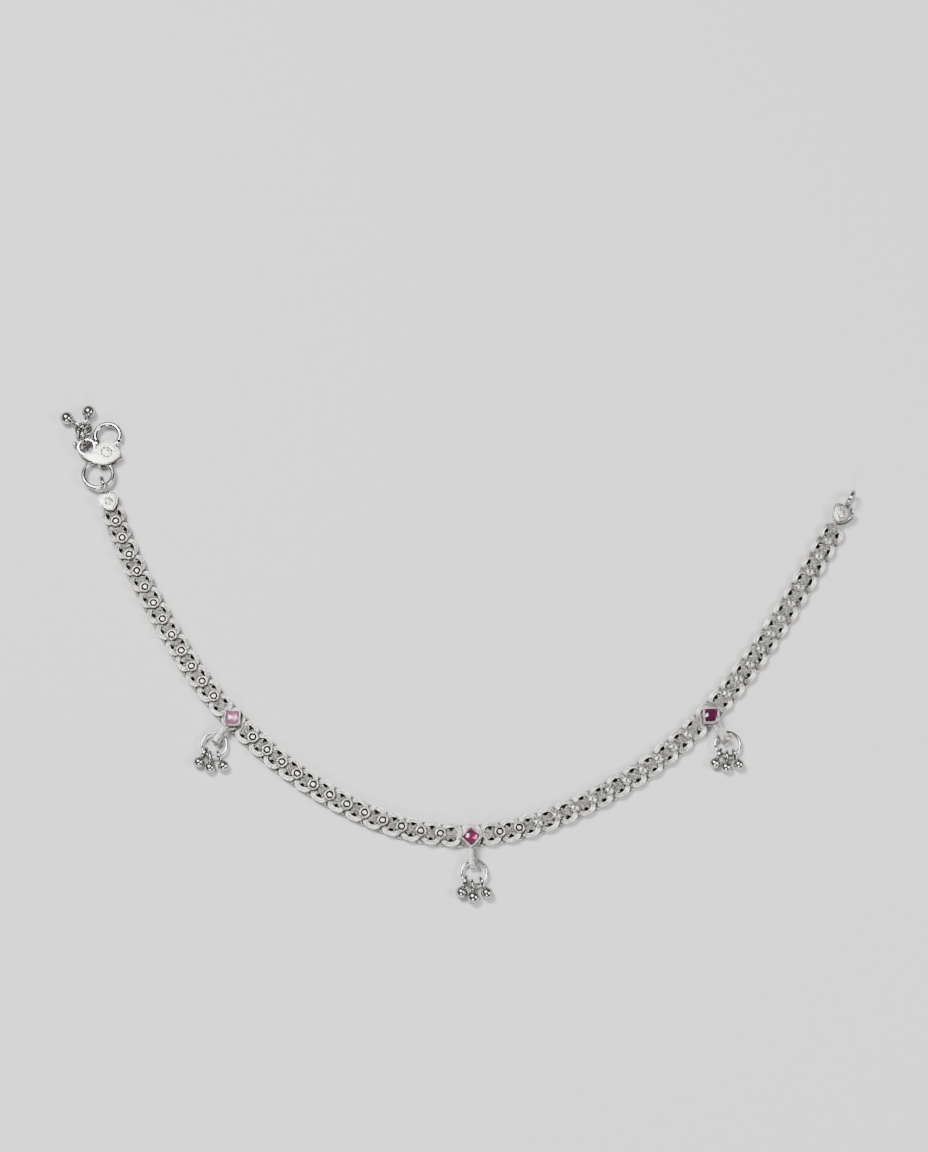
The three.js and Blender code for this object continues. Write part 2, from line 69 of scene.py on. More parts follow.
class Slot(Enum):
    """The material slots of the record."""

    SILVER = "silver"
    BRIGHT = "bright_silver"
    LIGHT_STONE = "stone_light"
    MID_STONE = "stone_mid"
    DARK_STONE = "stone_dark"


class Tone(Enum):
    """The finish that a part of a piece is dressed in."""

    BAND = 0
    GRAIN = 1
    SHADOW = 2
    POLISHED = 3
    ENGRAVED = 4
    FRAME = 5
    GEM = 6
    FOIL = 7


# ---------------------------------------------------------------- surfaces


@dataclass
class Surface:
    """A closed skin of triangles and quads in one finish.

    Attributes:
        points: Vertices, one row each, in millimetres.
        quads: Vertex numbers of the four-sided faces.
        triangles: Vertex numbers of the three-sided faces.
        tone: The finish.
        smooth: Whether the faces are shaded as one smooth skin.
    """

    points: Array
    quads: Array
    triangles: Array
    tone: Tone = Tone.POLISHED
    smooth: bool = True

    def turned_out(self) -> "Surface":
        """Return the same skin with its faces looking outwards."""
        parts = [self.triangles]
        if len(self.quads):
            parts += [self.quads[:, [0, 1, 2]], self.quads[:, [0, 2, 3]]]
        corners = self.points[np.vstack(parts)]
        volume = np.einsum("ij,ij->", corners[:, 0], np.cross(corners[:, 1], corners[:, 2]))
        if volume < 0:
            return Surface(self.points, self.quads[:, ::-1], self.triangles[:, ::-1], self.tone, self.smooth)
        return self

    def placed(self, matrix: Array) -> "Surface":
        """Return the skin moved by a 4 x 4 matrix."""
        points = self.points @ matrix[:3, :3].T + matrix[:3, 3]
        return Surface(points, self.quads, self.triangles, self.tone, self.smooth)


Kit = list[Surface]


def placed(kit: Kit, matrix: Array) -> Kit:
    """Move every surface of a kit."""
    return [surface.placed(matrix) for surface in kit]


def shift(x: float, y: float, z: float = 0.0) -> Array:
    """Return a matrix that moves."""
    return np.array(Matrix.Translation((x, y, z)))


def turn(degrees: float, axis: str = "Z") -> Array:
    """Return a matrix that turns about a coordinate axis."""
    return np.array(Matrix.Rotation(math.radians(degrees), 4, axis))


def grid_faces(rows: int, columns: int, closed: bool) -> Array:
    """Return the quads between neighbouring rows of points.

    Args:
        rows: Number of rows.
        columns: Points in each row; a row always closes on itself.
        closed: Whether the last row joins the first.

    Returns:
        Vertex numbers, one quad to a row.
    """
    first = np.arange(rows if closed else rows - 1)[:, None] * columns
    following = ((np.arange(first.shape[0]) + 1) % rows)[:, None] * columns
    column = np.arange(columns)[None, :]
    beside = (column + 1) % columns
    faces = np.stack([first + column, first + beside, following + beside, following + column], axis=-1)
    return faces.reshape(-1, 4)


def sweep(
    path: Array,
    outward: Array,
    up: Array,
    section: Array,
    closed: bool,
    width: Array | float = 1.0,
    height: Array | float = 1.0,
    tone: Tone = Tone.POLISHED,
    smooth: bool = True,
) -> Surface:
    """Carry a section along a path.

    Args:
        path: Points of the path.
        outward: Direction of the section's first coordinate at each point.
        up: Direction of the section's second coordinate at each point.
        section: Outline of the section.
        closed: Whether the path closes on itself; an open one gets end faces.
        width: Scale of the first coordinate along the path.
        height: Scale of the second coordinate along the path.
        tone: The finish.
        smooth: Smooth shading.

    Returns:
        The closed skin.
    """
    count = len(path)
    wide = np.broadcast_to(np.asarray(width, float), (count,))[:, None, None]
    high = np.broadcast_to(np.asarray(height, float), (count,))[:, None, None]
    sideways = outward[:, None, :] * section[None, :, 0:1] * wide
    upright = up[:, None, :] * section[None, :, 1:2] * high
    points = (path[:, None, :] + sideways + upright).reshape(-1, 3)
    columns = len(section)
    quads = grid_faces(count, columns, closed)
    triangles = np.empty((0, 3), int)
    if not closed:
        ends = []
        for row in (0, count - 1):
            ring = np.arange(columns) + row * columns
            middle = len(points)
            points = np.vstack([points, points[ring].mean(axis=0)])
            fan = np.stack([np.roll(ring, -1), ring, np.full(columns, middle)], axis=-1)
            ends.append(fan if row == 0 else fan[:, ::-1])
        triangles = np.vstack(ends)
    return Surface(points, quads, triangles, tone, smooth).turned_out()


def round_section(radius: float, sides: int) -> Array:
    """Return the outline of a round wire."""
    angle = np.linspace(0, 2 * math.pi, sides, endpoint=False)
    return radius * np.stack([np.cos(angle), np.sin(angle)], axis=-1)


def soft_box(half_width: float, half_height: float, corner: float) -> Array:
    """Return the outline of a bar with rounded corners."""
    outline = []
    for index, (side, rise) in enumerate(((1, 1), (-1, 1), (-1, -1), (1, -1))):
        for step in range(4):
            angle = math.radians(90 * index + 30 * step)
            x = side * (half_width - corner) + corner * math.cos(angle)
            y = rise * (half_height - corner) + corner * math.sin(angle)
            outline.append((x, y))
    return np.array(outline)


def wire_ring(
    half_x: float,
    half_y: float,
    wire: float,
    steps: int = 40,
    sides: int = 8,
    tone: Tone = Tone.POLISHED,
    seam: float | None = None,
    milling: float = 0.0,
    notches: int = 0,
    fullness: float = 0.0,
) -> Surface:
    """Make a flat oval ring of round wire round the origin.

    Args:
        half_x: Half length of the wire's centreline along X.
        half_y: Half length of the wire's centreline along Y.
        wire: Radius of the wire.
        steps: Points round the ring.
        sides: Points round the wire.
        tone: The finish.
        seam: Angle in degrees at which the wire's two ends meet, or None.
        milling: Depth of notches round the ring, as a share of the wire.
        notches: Number of notches round the ring.
        fullness: How far the oval swells at its corners, from 0 to 1.

    Returns:
        The closed skin.
    """
    angle = np.linspace(0, 2 * math.pi, steps, endpoint=False)
    bulge = 1 + 0.05 * fullness * np.sin(2 * angle) ** 2
    path = np.stack([half_x * bulge * np.cos(angle), half_y * bulge * np.sin(angle), np.zeros(steps)], axis=-1)
    outward = np.stack([np.cos(angle) * half_y, np.sin(angle) * half_x, np.zeros(steps)], axis=-1)
    outward /= np.linalg.norm(outward, axis=1, keepdims=True)
    up = np.tile([0.0, 0.0, 1.0], (steps, 1))
    thickness = 1 + milling * np.cos(angle * notches)
    if seam is not None:
        away = np.abs((angle - math.radians(seam) + math.pi) % (2 * math.pi) - math.pi)
        thickness = thickness * (1 - 0.22 * (away < 1.2 * math.pi / steps))
    return sweep(path, outward, up, round_section(wire, sides), True, thickness, thickness, tone)


def lathe(profile: Sequence[tuple[float, float]], segments: int = 24, tone: Tone = Tone.POLISHED) -> Surface:
    """Turn a profile of (radius, height) rows about Z.

    Args:
        profile: Rows from one pole to the other; the poles have no radius.
        segments: Points round the axis.
        tone: The finish.

    Returns:
        The closed skin.
    """
    rows = np.array(profile[1:-1])
    angle = np.linspace(0, 2 * math.pi, segments, endpoint=False)
    radius = rows[:, 0][:, None]
    ring = np.stack([radius * np.cos(angle), radius * np.sin(angle)], axis=-1)
    height = np.broadcast_to(rows[:, 1][:, None, None], (*ring.shape[:2], 1))
    points = np.concatenate([ring, height], axis=-1).reshape(-1, 3)
    return close_poles(points, len(rows), segments, (0, 0, profile[0][1]), (0, 0, profile[-1][1]), tone, True)


def close_poles(
    points: Array,
    rows: int,
    columns: int,
    first: Sequence[float],
    last: Sequence[float],
    tone: Tone,
    smooth: bool,
) -> Surface:
    """Join rings of points into a skin and close it with a point at each end.

    Args:
        points: The rings' points, ring after ring.
        rows: Number of rings.
        columns: Points in a ring.
        first: The point before the first ring.
        last: The point after the last ring.
        tone: The finish.
        smooth: Smooth shading.

    Returns:
        The closed skin.
    """
    count = len(points)
    quads = grid_faces(rows, columns, False)
    near = np.arange(columns)
    far = near + (rows - 1) * columns
    start = np.stack([np.roll(near, -1), near, np.full(columns, count)], axis=-1)
    finish = np.stack([far, np.roll(far, -1), np.full(columns, count + 1)], axis=-1)
    everything = np.vstack([points, first, last])
    return Surface(everything, quads, np.vstack([start, finish]), tone, smooth).turned_out()


def ball(radius: float, segments: int = 9, rings: int = 5, tone: Tone = Tone.GRAIN) -> Surface:
    """Make a small ball at the origin."""
    angle = np.linspace(0, math.pi, rings + 2)
    return lathe([(radius * math.sin(a), radius * math.cos(a)) for a in angle], segments, tone)


Relief = Callable[[Array], Array]


def plate(
    outline: Array,
    centre: tuple[float, float],
    bottom: float,
    top: float,
    crown: float,
    relief: Relief | None = None,
    tone: Tone = Tone.ENGRAVED,
    rings: int = 16,
) -> Surface:
    """Make a domed plate with a rounded edge and a relief on its upper face.

    Args:
        outline: The plate's outline.
        centre: A point inside that sees the whole outline.
        bottom: Height of the lower face.
        top: Height of the crown.
        crown: How far the upper face falls from its middle to its edge.
        relief: Height of the relief at each point, or None for a plain face.
        tone: The finish.
        rings: Rows of points from the middle to the edge.

    Returns:
        The closed skin.
    """
    middle = np.array(centre)
    shares = np.linspace(0, 1, rings + 1)[1:]
    bevel = min(0.12, (top - bottom) / 4)
    rows = []
    for share in shares:
        flat = middle + (outline - middle) * share * 0.97
        height = np.full(len(outline), top - crown * share**2)
        if relief is not None:
            fade = np.clip((0.99 - share) * 12, 0, 1)
            height = height + relief(flat) * fade
        rows.append(np.column_stack([flat, height]))
    edge = top - crown
    for share, height in ((1.0, edge - bevel), (1.0, bottom + bevel), (0.97, bottom)):
        flat = middle + (outline - middle) * share
        rows.append(np.column_stack([flat, np.full(len(outline), height)]))
    peak = top
    if relief is not None:
        peak = top + float(relief(middle[None, :])[0])
    count = len(rows)
    points = np.vstack(rows)
    first = (*centre, peak)
    last = (*centre, bottom)
    return close_poles(points, count, len(outline), first, last, tone, True)


def rim_wire(outline: Array, centre: tuple[float, float], share: float, height: float, wire: float) -> Surface:
    """Lay a fine wire just inside an outline.

    Args:
        outline: The outline.
        centre: Point that the outline shrinks towards.
        share: Size of the wire's line as a share of the outline.
        height: Height of the wire.
        wire: Radius of the wire.

    Returns:
        The closed skin.
    """
    middle = np.array(centre)
    line = np.column_stack([middle + (outline - middle) * share, np.full(len(outline), height)])
    ahead = np.roll(line, -1, axis=0) - np.roll(line, 1, axis=0)
    outward = np.column_stack([ahead[:, 1], -ahead[:, 0], np.zeros(len(line))])
    outward /= np.linalg.norm(outward, axis=1, keepdims=True)
    up = np.tile([0.0, 0.0, 1.0], (len(line), 1))
    return sweep(line, outward, up, round_section(wire, 7), True, tone=Tone.POLISHED)


def hull(points: Array, tone: Tone) -> Surface:
    """Return the faceted solid that spans a set of points."""
    mesh = bmesh.new()
    for point in points:
        mesh.verts.new(point)
    made = bmesh.ops.convex_hull(mesh, input=mesh.verts)
    loose = {item for item in made["geom_interior"] + made["geom_unused"] if isinstance(item, bmesh.types.BMVert)}
    bmesh.ops.delete(mesh, geom=list(loose), context="VERTS")
    bmesh.ops.triangulate(mesh, faces=mesh.faces)
    mesh.verts.index_update()
    vertices = np.array([vertex.co for vertex in mesh.verts])
    triangles = np.array([[vertex.index for vertex in face.verts] for face in mesh.faces])
    mesh.free()
    return Surface(vertices, np.empty((0, 4), int), triangles, tone, False).turned_out()


def resampled(outline: Array, count: int) -> Array:
    """Space points evenly round a closed outline.

    Args:
        outline: The corners.
        count: Points wanted.

    Returns:
        The evenly spaced outline.
    """
    loop = np.vstack([outline, outline[:1]])
    run = np.concatenate([[0], np.cumsum(np.linalg.norm(np.diff(loop, axis=0), axis=1))])
    wanted = np.linspace(0, run[-1], count, endpoint=False)
    return np.column_stack([np.interp(wanted, run, loop[:, axis]) for axis in (0, 1)])


def arc(x: float, y: float, radius: float, start: float, end: float, steps: int = 12) -> list[tuple[float, float]]:
    """Return points of an arc between two angles in degrees."""
    angles = np.radians(np.linspace(start, end, steps))
    return [(x + radius * math.cos(a), y + radius * math.sin(a)) for a in angles]


def bend(
    start: tuple[float, float], control: tuple[float, float], end: tuple[float, float], steps: int = 10
) -> list[tuple[float, float]]:
    """Return points of a quadratic curve."""
    result = []
    for t in np.linspace(0, 1, steps):
        weights = ((1 - t) ** 2, 2 * t * (1 - t), t * t)
        x = sum(w * p[0] for w, p in zip(weights, (start, control, end)))
        y = sum(w * p[1] for w, p in zip(weights, (start, control, end)))
        result.append((x, y))
    return result


def bar(
    rows: Sequence[tuple[float, float, float]], middle: float, half_height: float, tone: Tone, steps: int = 40
) -> Surface:
    """Make a rounded bar that lies flat and follows a smooth line.

    Args:
        rows: (x, y, half width) of the line.
        middle: Height of the bar's middle.
        half_height: Half the bar's height.
        tone: The finish.
        steps: Points along the bar.

    Returns:
        The closed skin.
    """
    given = np.array(rows)
    run = np.concatenate([[0], np.cumsum(np.linalg.norm(np.diff(given[:, :2], axis=0), axis=1))])
    wanted = np.linspace(0, run[-1], steps)
    line = np.column_stack([np.interp(wanted, run, given[:, axis]) for axis in range(3)])
    for _ in range(4):
        line[1:-1] = (line[:-2] + 2 * line[1:-1] + line[2:]) / 4
    ahead = np.gradient(line[:, :2], axis=0)
    ahead /= np.linalg.norm(ahead, axis=1, keepdims=True)
    outward = np.column_stack([ahead[:, 1], -ahead[:, 0], np.zeros(steps)])
    up = np.tile([0.0, 0.0, 1.0], (steps, 1))
    path = np.column_stack([line[:, :2], np.full(steps, middle)])
    rounding = np.ones(steps)
    rounding[[0, -1]] = 0.8
    section = soft_box(1.0, half_height, min(0.45, half_height * 0.8))
    return sweep(path, outward, up, section, False, line[:, 2] * rounding, rounding, tone)


# ---------------------------------------------------------------- finishes


@dataclass
class NodeTree:
    """Short ways to add and link nodes in a shader tree."""

    tree: bpy.types.NodeTree

    def add(self, kind: str, **values: object) -> bpy.types.Node:
        """Add a node and set its properties, or its inputs by name.

        Args:
            kind: Node type.
            **values: Property names, or input names with spaces as underscores.

        Returns:
            The new node.
        """
        node = self.tree.nodes.new(kind)
        for name, value in values.items():
            if hasattr(node, name):
                setattr(node, name, value)
            else:
                node.inputs[name.replace("_", " ")].default_value = value
        return node

    def join(self, source: bpy.types.NodeSocket, target: bpy.types.NodeSocket) -> None:
        """Link two sockets."""
        self.tree.links.new(source, target)


def new_group(name: str, inputs: Sequence[tuple[str, str]], outputs: Sequence[tuple[str, str]]) -> NodeTree:
    """Make an empty shader node group with its sockets.

    Args:
        name: Name of the group.
        inputs: Name and socket type of each input.
        outputs: Name and socket type of each output.

    Returns:
        The group's tree.
    """
    tree = bpy.data.node_groups.new(name, "ShaderNodeTree")
    for label, kind in inputs:
        tree.interface.new_socket(name=label, in_out="INPUT", socket_type=kind)
    for label, kind in outputs:
        tree.interface.new_socket(name=label, in_out="OUTPUT", socket_type=kind)
    return NodeTree(tree)


def shade_and_patina_group() -> bpy.types.NodeTree:
    """Make the group that paints shade into the silver's hollows and near the floor, partly standing for oxide, and
    mottles its face.

    Returns:
        The group; it gives the colour, the roughness and a height for the bump.
    """
    inputs = [
        ("Bright", "NodeSocketColor"),
        ("ShadeAndTarnish", "NodeSocketColor"),
        ("Reach", "NodeSocketFloat"),
        ("Depth", "NodeSocketFloat"),
        ("Polish", "NodeSocketFloat"),
        ("Grain", "NodeSocketFloat"),
    ]
    outputs = [
        ("Colour", "NodeSocketColor"),
        ("Roughness", "NodeSocketFloat"),
        ("Height", "NodeSocketFloat"),
    ]
    group = new_group("SilverShadeAndPatina", inputs, outputs)
    given = group.add("NodeGroupInput")
    result = group.add("NodeGroupOutput")
    where = group.add("ShaderNodeTexCoord")
    # Ambient occlusion darkens the colour wherever other surfaces come near, the floor too: painted shade, partly
    # standing for oxide in the hollows.
    hollow = group.add("ShaderNodeAmbientOcclusion", samples=6)
    group.join(given.outputs["Reach"], hollow.inputs["Distance"])
    spread = group.add("ShaderNodeMapRange", From_Min=0.5, From_Max=0.97)
    group.join(hollow.outputs["AO"], spread.inputs["Value"])
    mottle = group.add("ShaderNodeTexNoise", Scale=900.0, Detail=4.0, Roughness=0.6)
    group.join(where.outputs["Object"], mottle.inputs["Vector"])
    broken = group.add("ShaderNodeMath", operation="MULTIPLY_ADD")
    broken.inputs[1].default_value = 0.16
    group.join(mottle.outputs["Fac"], broken.inputs[0])
    group.join(spread.outputs["Result"], broken.inputs[2])
    open_share = group.add("ShaderNodeMapRange", From_Min=0.15, From_Max=1.0)
    group.join(broken.outputs["Value"], open_share.inputs["Value"])
    closed = group.add("ShaderNodeMath", operation="SUBTRACT")
    closed.inputs[0].default_value = 1.0
    group.join(open_share.outputs["Result"], closed.inputs[1])
    shade_and_tarnish_share = group.add("ShaderNodeMath", operation="MULTIPLY")
    group.join(closed.outputs["Value"], shade_and_tarnish_share.inputs[0])
    group.join(given.outputs["Depth"], shade_and_tarnish_share.inputs[1])
    colour = group.add("ShaderNodeMix", data_type="RGBA")
    group.join(shade_and_tarnish_share.outputs["Value"], colour.inputs["Factor"])
    group.join(given.outputs["Bright"], colour.inputs[6])
    group.join(given.outputs["ShadeAndTarnish"], colour.inputs[7])
    group.join(colour.outputs[2], result.inputs["Colour"])
    fine = group.add("ShaderNodeTexNoise", Scale=5200.0, Detail=3.0, Roughness=0.7)
    group.join(where.outputs["Object"], fine.inputs["Vector"])
    dull = group.add("ShaderNodeMath", operation="MULTIPLY_ADD")
    dull.inputs[1].default_value = 0.22
    group.join(shade_and_tarnish_share.outputs["Value"], dull.inputs[0])
    group.join(given.outputs["Polish"], dull.inputs[2])
    scuffed = group.add("ShaderNodeMath", operation="MULTIPLY_ADD")
    scuffed.inputs[1].default_value = 0.10
    group.join(mottle.outputs["Fac"], scuffed.inputs[0])
    group.join(dull.outputs["Value"], scuffed.inputs[2])
    group.join(scuffed.outputs["Value"], result.inputs["Roughness"])
    height = group.add("ShaderNodeMath", operation="MULTIPLY")
    group.join(fine.outputs["Fac"], height.inputs[0])
    group.join(given.outputs["Grain"], height.inputs[1])
    group.join(height.outputs["Value"], result.inputs["Height"])
    return group.tree


@dataclass(frozen=True)
class SilverFinish:
    """Silver with painted shade, partly standing for oxide, in its hollows.

    Attributes:
        name: Material name.
        bright: Colour of the open face.
        shade_and_tarnish: Colour of the painted shade and oxide in the hollows.
        reach: How far nearby surfaces, the floor too, paint shade into it, in metres.
        depth: How dark the painted shade gets, from 0 to 1.
        polish: Roughness of the open face.
        grain: Strength of the fine grain in the bump.
        edge: How much light the metal mirrors where it turns away, from 0 to 1.
    """

    name: str
    bright: tuple[float, float, float]
    shade_and_tarnish: tuple[float, float, float]
    reach: float
    depth: float
    polish: float
    grain: float
    edge: float = 0.05

    def build(self, shade_and_patina: bpy.types.NodeTree) -> bpy.types.Material:
        """Make the material round the shared group of painted shade and oxide."""
        material = bpy.data.materials.new(self.name)
        material.use_nodes = True
        nodes = NodeTree(material.node_tree)
        shader = material.node_tree.nodes["Principled BSDF"]
        shader.inputs["Metallic"].default_value = 1.0
        shade_and_tarnish = nodes.add("ShaderNodeGroup", node_tree=shade_and_patina)
        shade_and_tarnish.inputs["Bright"].default_value = (*self.bright, 1)
        shade_and_tarnish.inputs["ShadeAndTarnish"].default_value = (*self.shade_and_tarnish, 1)
        shade_and_tarnish.inputs["Reach"].default_value = self.reach
        shade_and_tarnish.inputs["Depth"].default_value = self.depth
        shade_and_tarnish.inputs["Polish"].default_value = self.polish
        shade_and_tarnish.inputs["Grain"].default_value = self.grain
        bump = nodes.add("ShaderNodeBump", Strength=0.6, Distance=0.00006)
        nodes.join(shade_and_tarnish.outputs["Height"], bump.inputs["Height"])
        shader.inputs["Specular Tint"].default_value = (self.edge, self.edge, self.edge, 1)
        nodes.join(shade_and_tarnish.outputs["Colour"], shader.inputs["Base Color"])
        nodes.join(shade_and_tarnish.outputs["Roughness"], shader.inputs["Roughness"])
        nodes.join(bump.outputs["Normal"], shader.inputs["Normal"])
        return material


@dataclass(frozen=True)
class GemFinish:
    """A clear coloured stone over a mirror-like back.

    Attributes:
        name: Material name.
        body: Colour of the clear stone.
        glint: Colour of the painted glint on the back facets that face one side; the crown also mixes it in at random.
        shade: Colour of the painted shade on the back facets that face away.
    """

    name: str
    body: tuple[float, float, float]
    glint: tuple[float, float, float]
    shade: tuple[float, float, float]

    def crown(self) -> bpy.types.Material:
        """Make the clear material of the crown."""
        material = bpy.data.materials.new(self.name)
        material.use_nodes = True
        nodes = NodeTree(material.node_tree)
        shader = material.node_tree.nodes["Principled BSDF"]
        shader.inputs["Metallic"].default_value = 0.0
        shader.inputs["Transmission Weight"].default_value = 0.92
        shader.inputs["IOR"].default_value = 1.62
        shader.inputs["Roughness"].default_value = 0.1
        shader.inputs["Specular IOR Level"].default_value = 0.2
        where = nodes.add("ShaderNodeTexCoord")
        cloud = nodes.add("ShaderNodeTexNoise", Scale=1500.0, Detail=2.0)
        nodes.join(where.outputs["Object"], cloud.inputs["Vector"])
        tint = nodes.add("ShaderNodeMix", data_type="RGBA")
        tint.inputs[6].default_value = (*self.body, 1)
        tint.inputs[7].default_value = (*self.glint, 1)
        share = nodes.add("ShaderNodeMath", operation="MULTIPLY")
        share.inputs[1].default_value = 0.5
        nodes.join(cloud.outputs["Fac"], share.inputs[0])
        nodes.join(share.outputs["Value"], tint.inputs["Factor"])
        nodes.join(tint.outputs[2], shader.inputs["Base Color"])
        return material

    def foil(self) -> bpy.types.Material:
        """Make the material of the back facets, with a painted glint on those that face one fixed side and painted
        shade on the rest.
        """
        material = bpy.data.materials.new(f"{self.name}_back")
        material.use_nodes = True
        nodes = NodeTree(material.node_tree)
        shader = material.node_tree.nodes["Principled BSDF"]
        shader.inputs["Metallic"].default_value = 0.35
        shader.inputs["Roughness"].default_value = 0.18
        # Painted glint and shade: facets that face the fixed direction below get the glint colour, and those that face
        # away get the shade colour.
        facing = nodes.add("ShaderNodeNewGeometry")
        lean = nodes.add("ShaderNodeVectorMath", operation="DOT_PRODUCT")
        lean.inputs[1].default_value = (-0.75, -0.55, 0.2)
        nodes.join(facing.outputs["True Normal"], lean.inputs[0])
        share = nodes.add("ShaderNodeMapRange", From_Min=-0.45, From_Max=0.55)
        nodes.join(lean.outputs["Value"], share.inputs["Value"])
        tint = nodes.add("ShaderNodeMix", data_type="RGBA")
        tint.inputs[6].default_value = (*self.shade, 1)
        tint.inputs[7].default_value = (*self.glint, 1)
        nodes.join(share.outputs["Result"], tint.inputs["Factor"])
        nodes.join(tint.outputs[2], shader.inputs["Base Color"])
        return material


@dataclass
class Wardrobe:
    """Every finish of the anklet, made once."""

    silver: dict[Tone, bpy.types.Material] = field(default_factory=dict)

    def __post_init__(self) -> None:
        """Make the silver finishes round one group of painted shade and oxide."""
        shade_and_patina = shade_and_patina_group()
        white = (0.60, 0.585, 0.56)
        # Colour of the painted shade and oxide in the hollows.
        shade_and_tarnish_colour = (0.035, 0.033, 0.031)
        finishes = {
            Tone.BAND: SilverFinish("milled_silver", white, shade_and_tarnish_colour, 0.0007, 0.95, 0.20, 0.9),
            Tone.GRAIN: SilverFinish("granulated_silver", white, shade_and_tarnish_colour, 0.0006, 0.9, 0.22, 0.8),
            # Near-black painted shadow for the sheets under the links' holes, the studs' recesses and the stones.
            Tone.SHADOW: SilverFinish("painted_shadow_silver", (0.06, 0.058, 0.055), (0.012, 0.012, 0.012), 0.001, 1, 0.4, 1),
            Tone.POLISHED: SilverFinish("polished_silver", (0.58, 0.565, 0.545), shade_and_tarnish_colour, 0.0007, 0.7, 0.13, 0.25),
            # Pink cast of the frames and their beads: a painted reflection of the stones' colour.
            Tone.FRAME: SilverFinish("painted_stone_reflection_silver", (0.80, 0.72, 0.72), shade_and_tarnish_colour, 0.0004, 0.8, 0.16, 0.4, 0.6),
            Tone.ENGRAVED: SilverFinish("engraved_silver", (0.50, 0.485, 0.46), shade_and_tarnish_colour, 0.0005, 1.0, 0.26, 1.0),
        }
        for tone, finish in finishes.items():
            self.silver[tone] = finish.build(shade_and_patina)

    def for_tone(self, tone: Tone, gem: GemFinish | None) -> bpy.types.Material:
        """Return the material of a finish; the stone's own finish is given apart."""
        if gem is not None and tone is Tone.GEM:
            return gem.crown()
        if gem is not None and tone is Tone.FOIL:
            return gem.foil()
        return self.silver[tone]


@dataclass
class Workshop:
    """Turns kits of surfaces into pieces that ride with the CAD model.

    Attributes:
        wardrobe: The finishes.
        made: Names of the pieces made so far.
    """

    wardrobe: Wardrobe
    made: list[str] = field(default_factory=list)

    def piece(
        self, node: str, kit: Kit, body: Body = Body.ANKLET, gem: GemFinish | None = None
    ) -> bpy.types.Object:
        """Build one piece, dress it and let it stand for its CAD node.

        Args:
            node: The CAD node that the piece stands for.
            kit: Its surfaces.
            body: Body that it rides on.
            gem: Finish of its stone, if it has one.

        Returns:
            The new object.
        """
        tones = sorted({surface.tone for surface in kit}, key=lambda tone: tone.value)
        points = np.vstack([surface.points for surface in kit]) * METRES
        faces: list[list[int]] = []
        materials: list[int] = []
        smooth: list[bool] = []
        start = 0
        for surface in kit:
            added = (surface.quads + start).tolist() + (surface.triangles + start).tolist()
            faces += added
            materials += [tones.index(surface.tone)] * len(added)
            smooth += [surface.smooth] * len(added)
            start += len(surface.points)
        mesh = bpy.data.meshes.new(f"look_{node}")
        mesh.from_pydata(points.tolist(), [], faces)
        for tone in tones:
            mesh.materials.append(self.wardrobe.for_tone(tone, gem))
        mesh.polygons.foreach_set("material_index", materials)
        mesh.polygons.foreach_set("use_smooth", smooth)
        mesh.set_sharp_from_angle(angle=math.radians(52))
        mesh.update()
        thing = bpy.data.objects.new(f"look_{node}", mesh)
        bpy.context.scene.collection.objects.link(thing)
        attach(thing, body.value)
        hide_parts(node)
        self.made.append(node)
        triangles = sum(2 * len(surface.quads) + len(surface.triangles) for surface in kit)
        LOG.info("%s: %d triangles", node, triangles)
        return thing


# ---------------------------------------------------------------- the chain


@dataclass(frozen=True)
class Route:
    """Centreline of the chain: equal arcs from the clasp end to the plain end."""

    x: float = -80.542
    y: float = 34.278
    heading: float = -70.8
    arc_length: float = 20.16
    turns: tuple[float, ...] = (8.3, 4.5, 11.7, 10.2, 13.5, 23.5, 21.5, 10.0, 13.2, 9.1, 4.0, 2.6)

    @property
    def length(self) -> float:
        """Length of the whole route."""
        return self.arc_length * len(self.turns)

    @staticmethod
    def _advance(x: float, y: float, heading: float, turned: float, length: float) -> tuple[float, float, float]:
        """Move along an arc; the headings are in radians."""
        curvature = turned / length
        after = heading + turned
        along = x + (math.sin(after) - math.sin(heading)) / curvature
        across = y - (math.cos(after) - math.cos(heading)) / curvature
        return along, across, after

    def frame(self, station: float) -> Array:
        """Give the frame at a station: X along the chain, Y to the inside of the bow.

        Args:
            station: Distance from the start in millimetres.

        Returns:
            A 4 x 4 matrix.
        """
        place = (self.x, self.y, math.radians(self.heading))
        index = min(max(int(station // self.arc_length), 0), len(self.turns) - 1)
        for turned in self.turns[:index]:
            place = self._advance(*place, math.radians(turned), self.arc_length)
        rest = station - index * self.arc_length
        if abs(rest) > 1e-9:
            share = math.radians(self.turns[index]) * rest / self.arc_length
            place = self._advance(*place, share, rest)
        x, y, heading = place
        return shift(x, y) @ turn(math.degrees(heading))


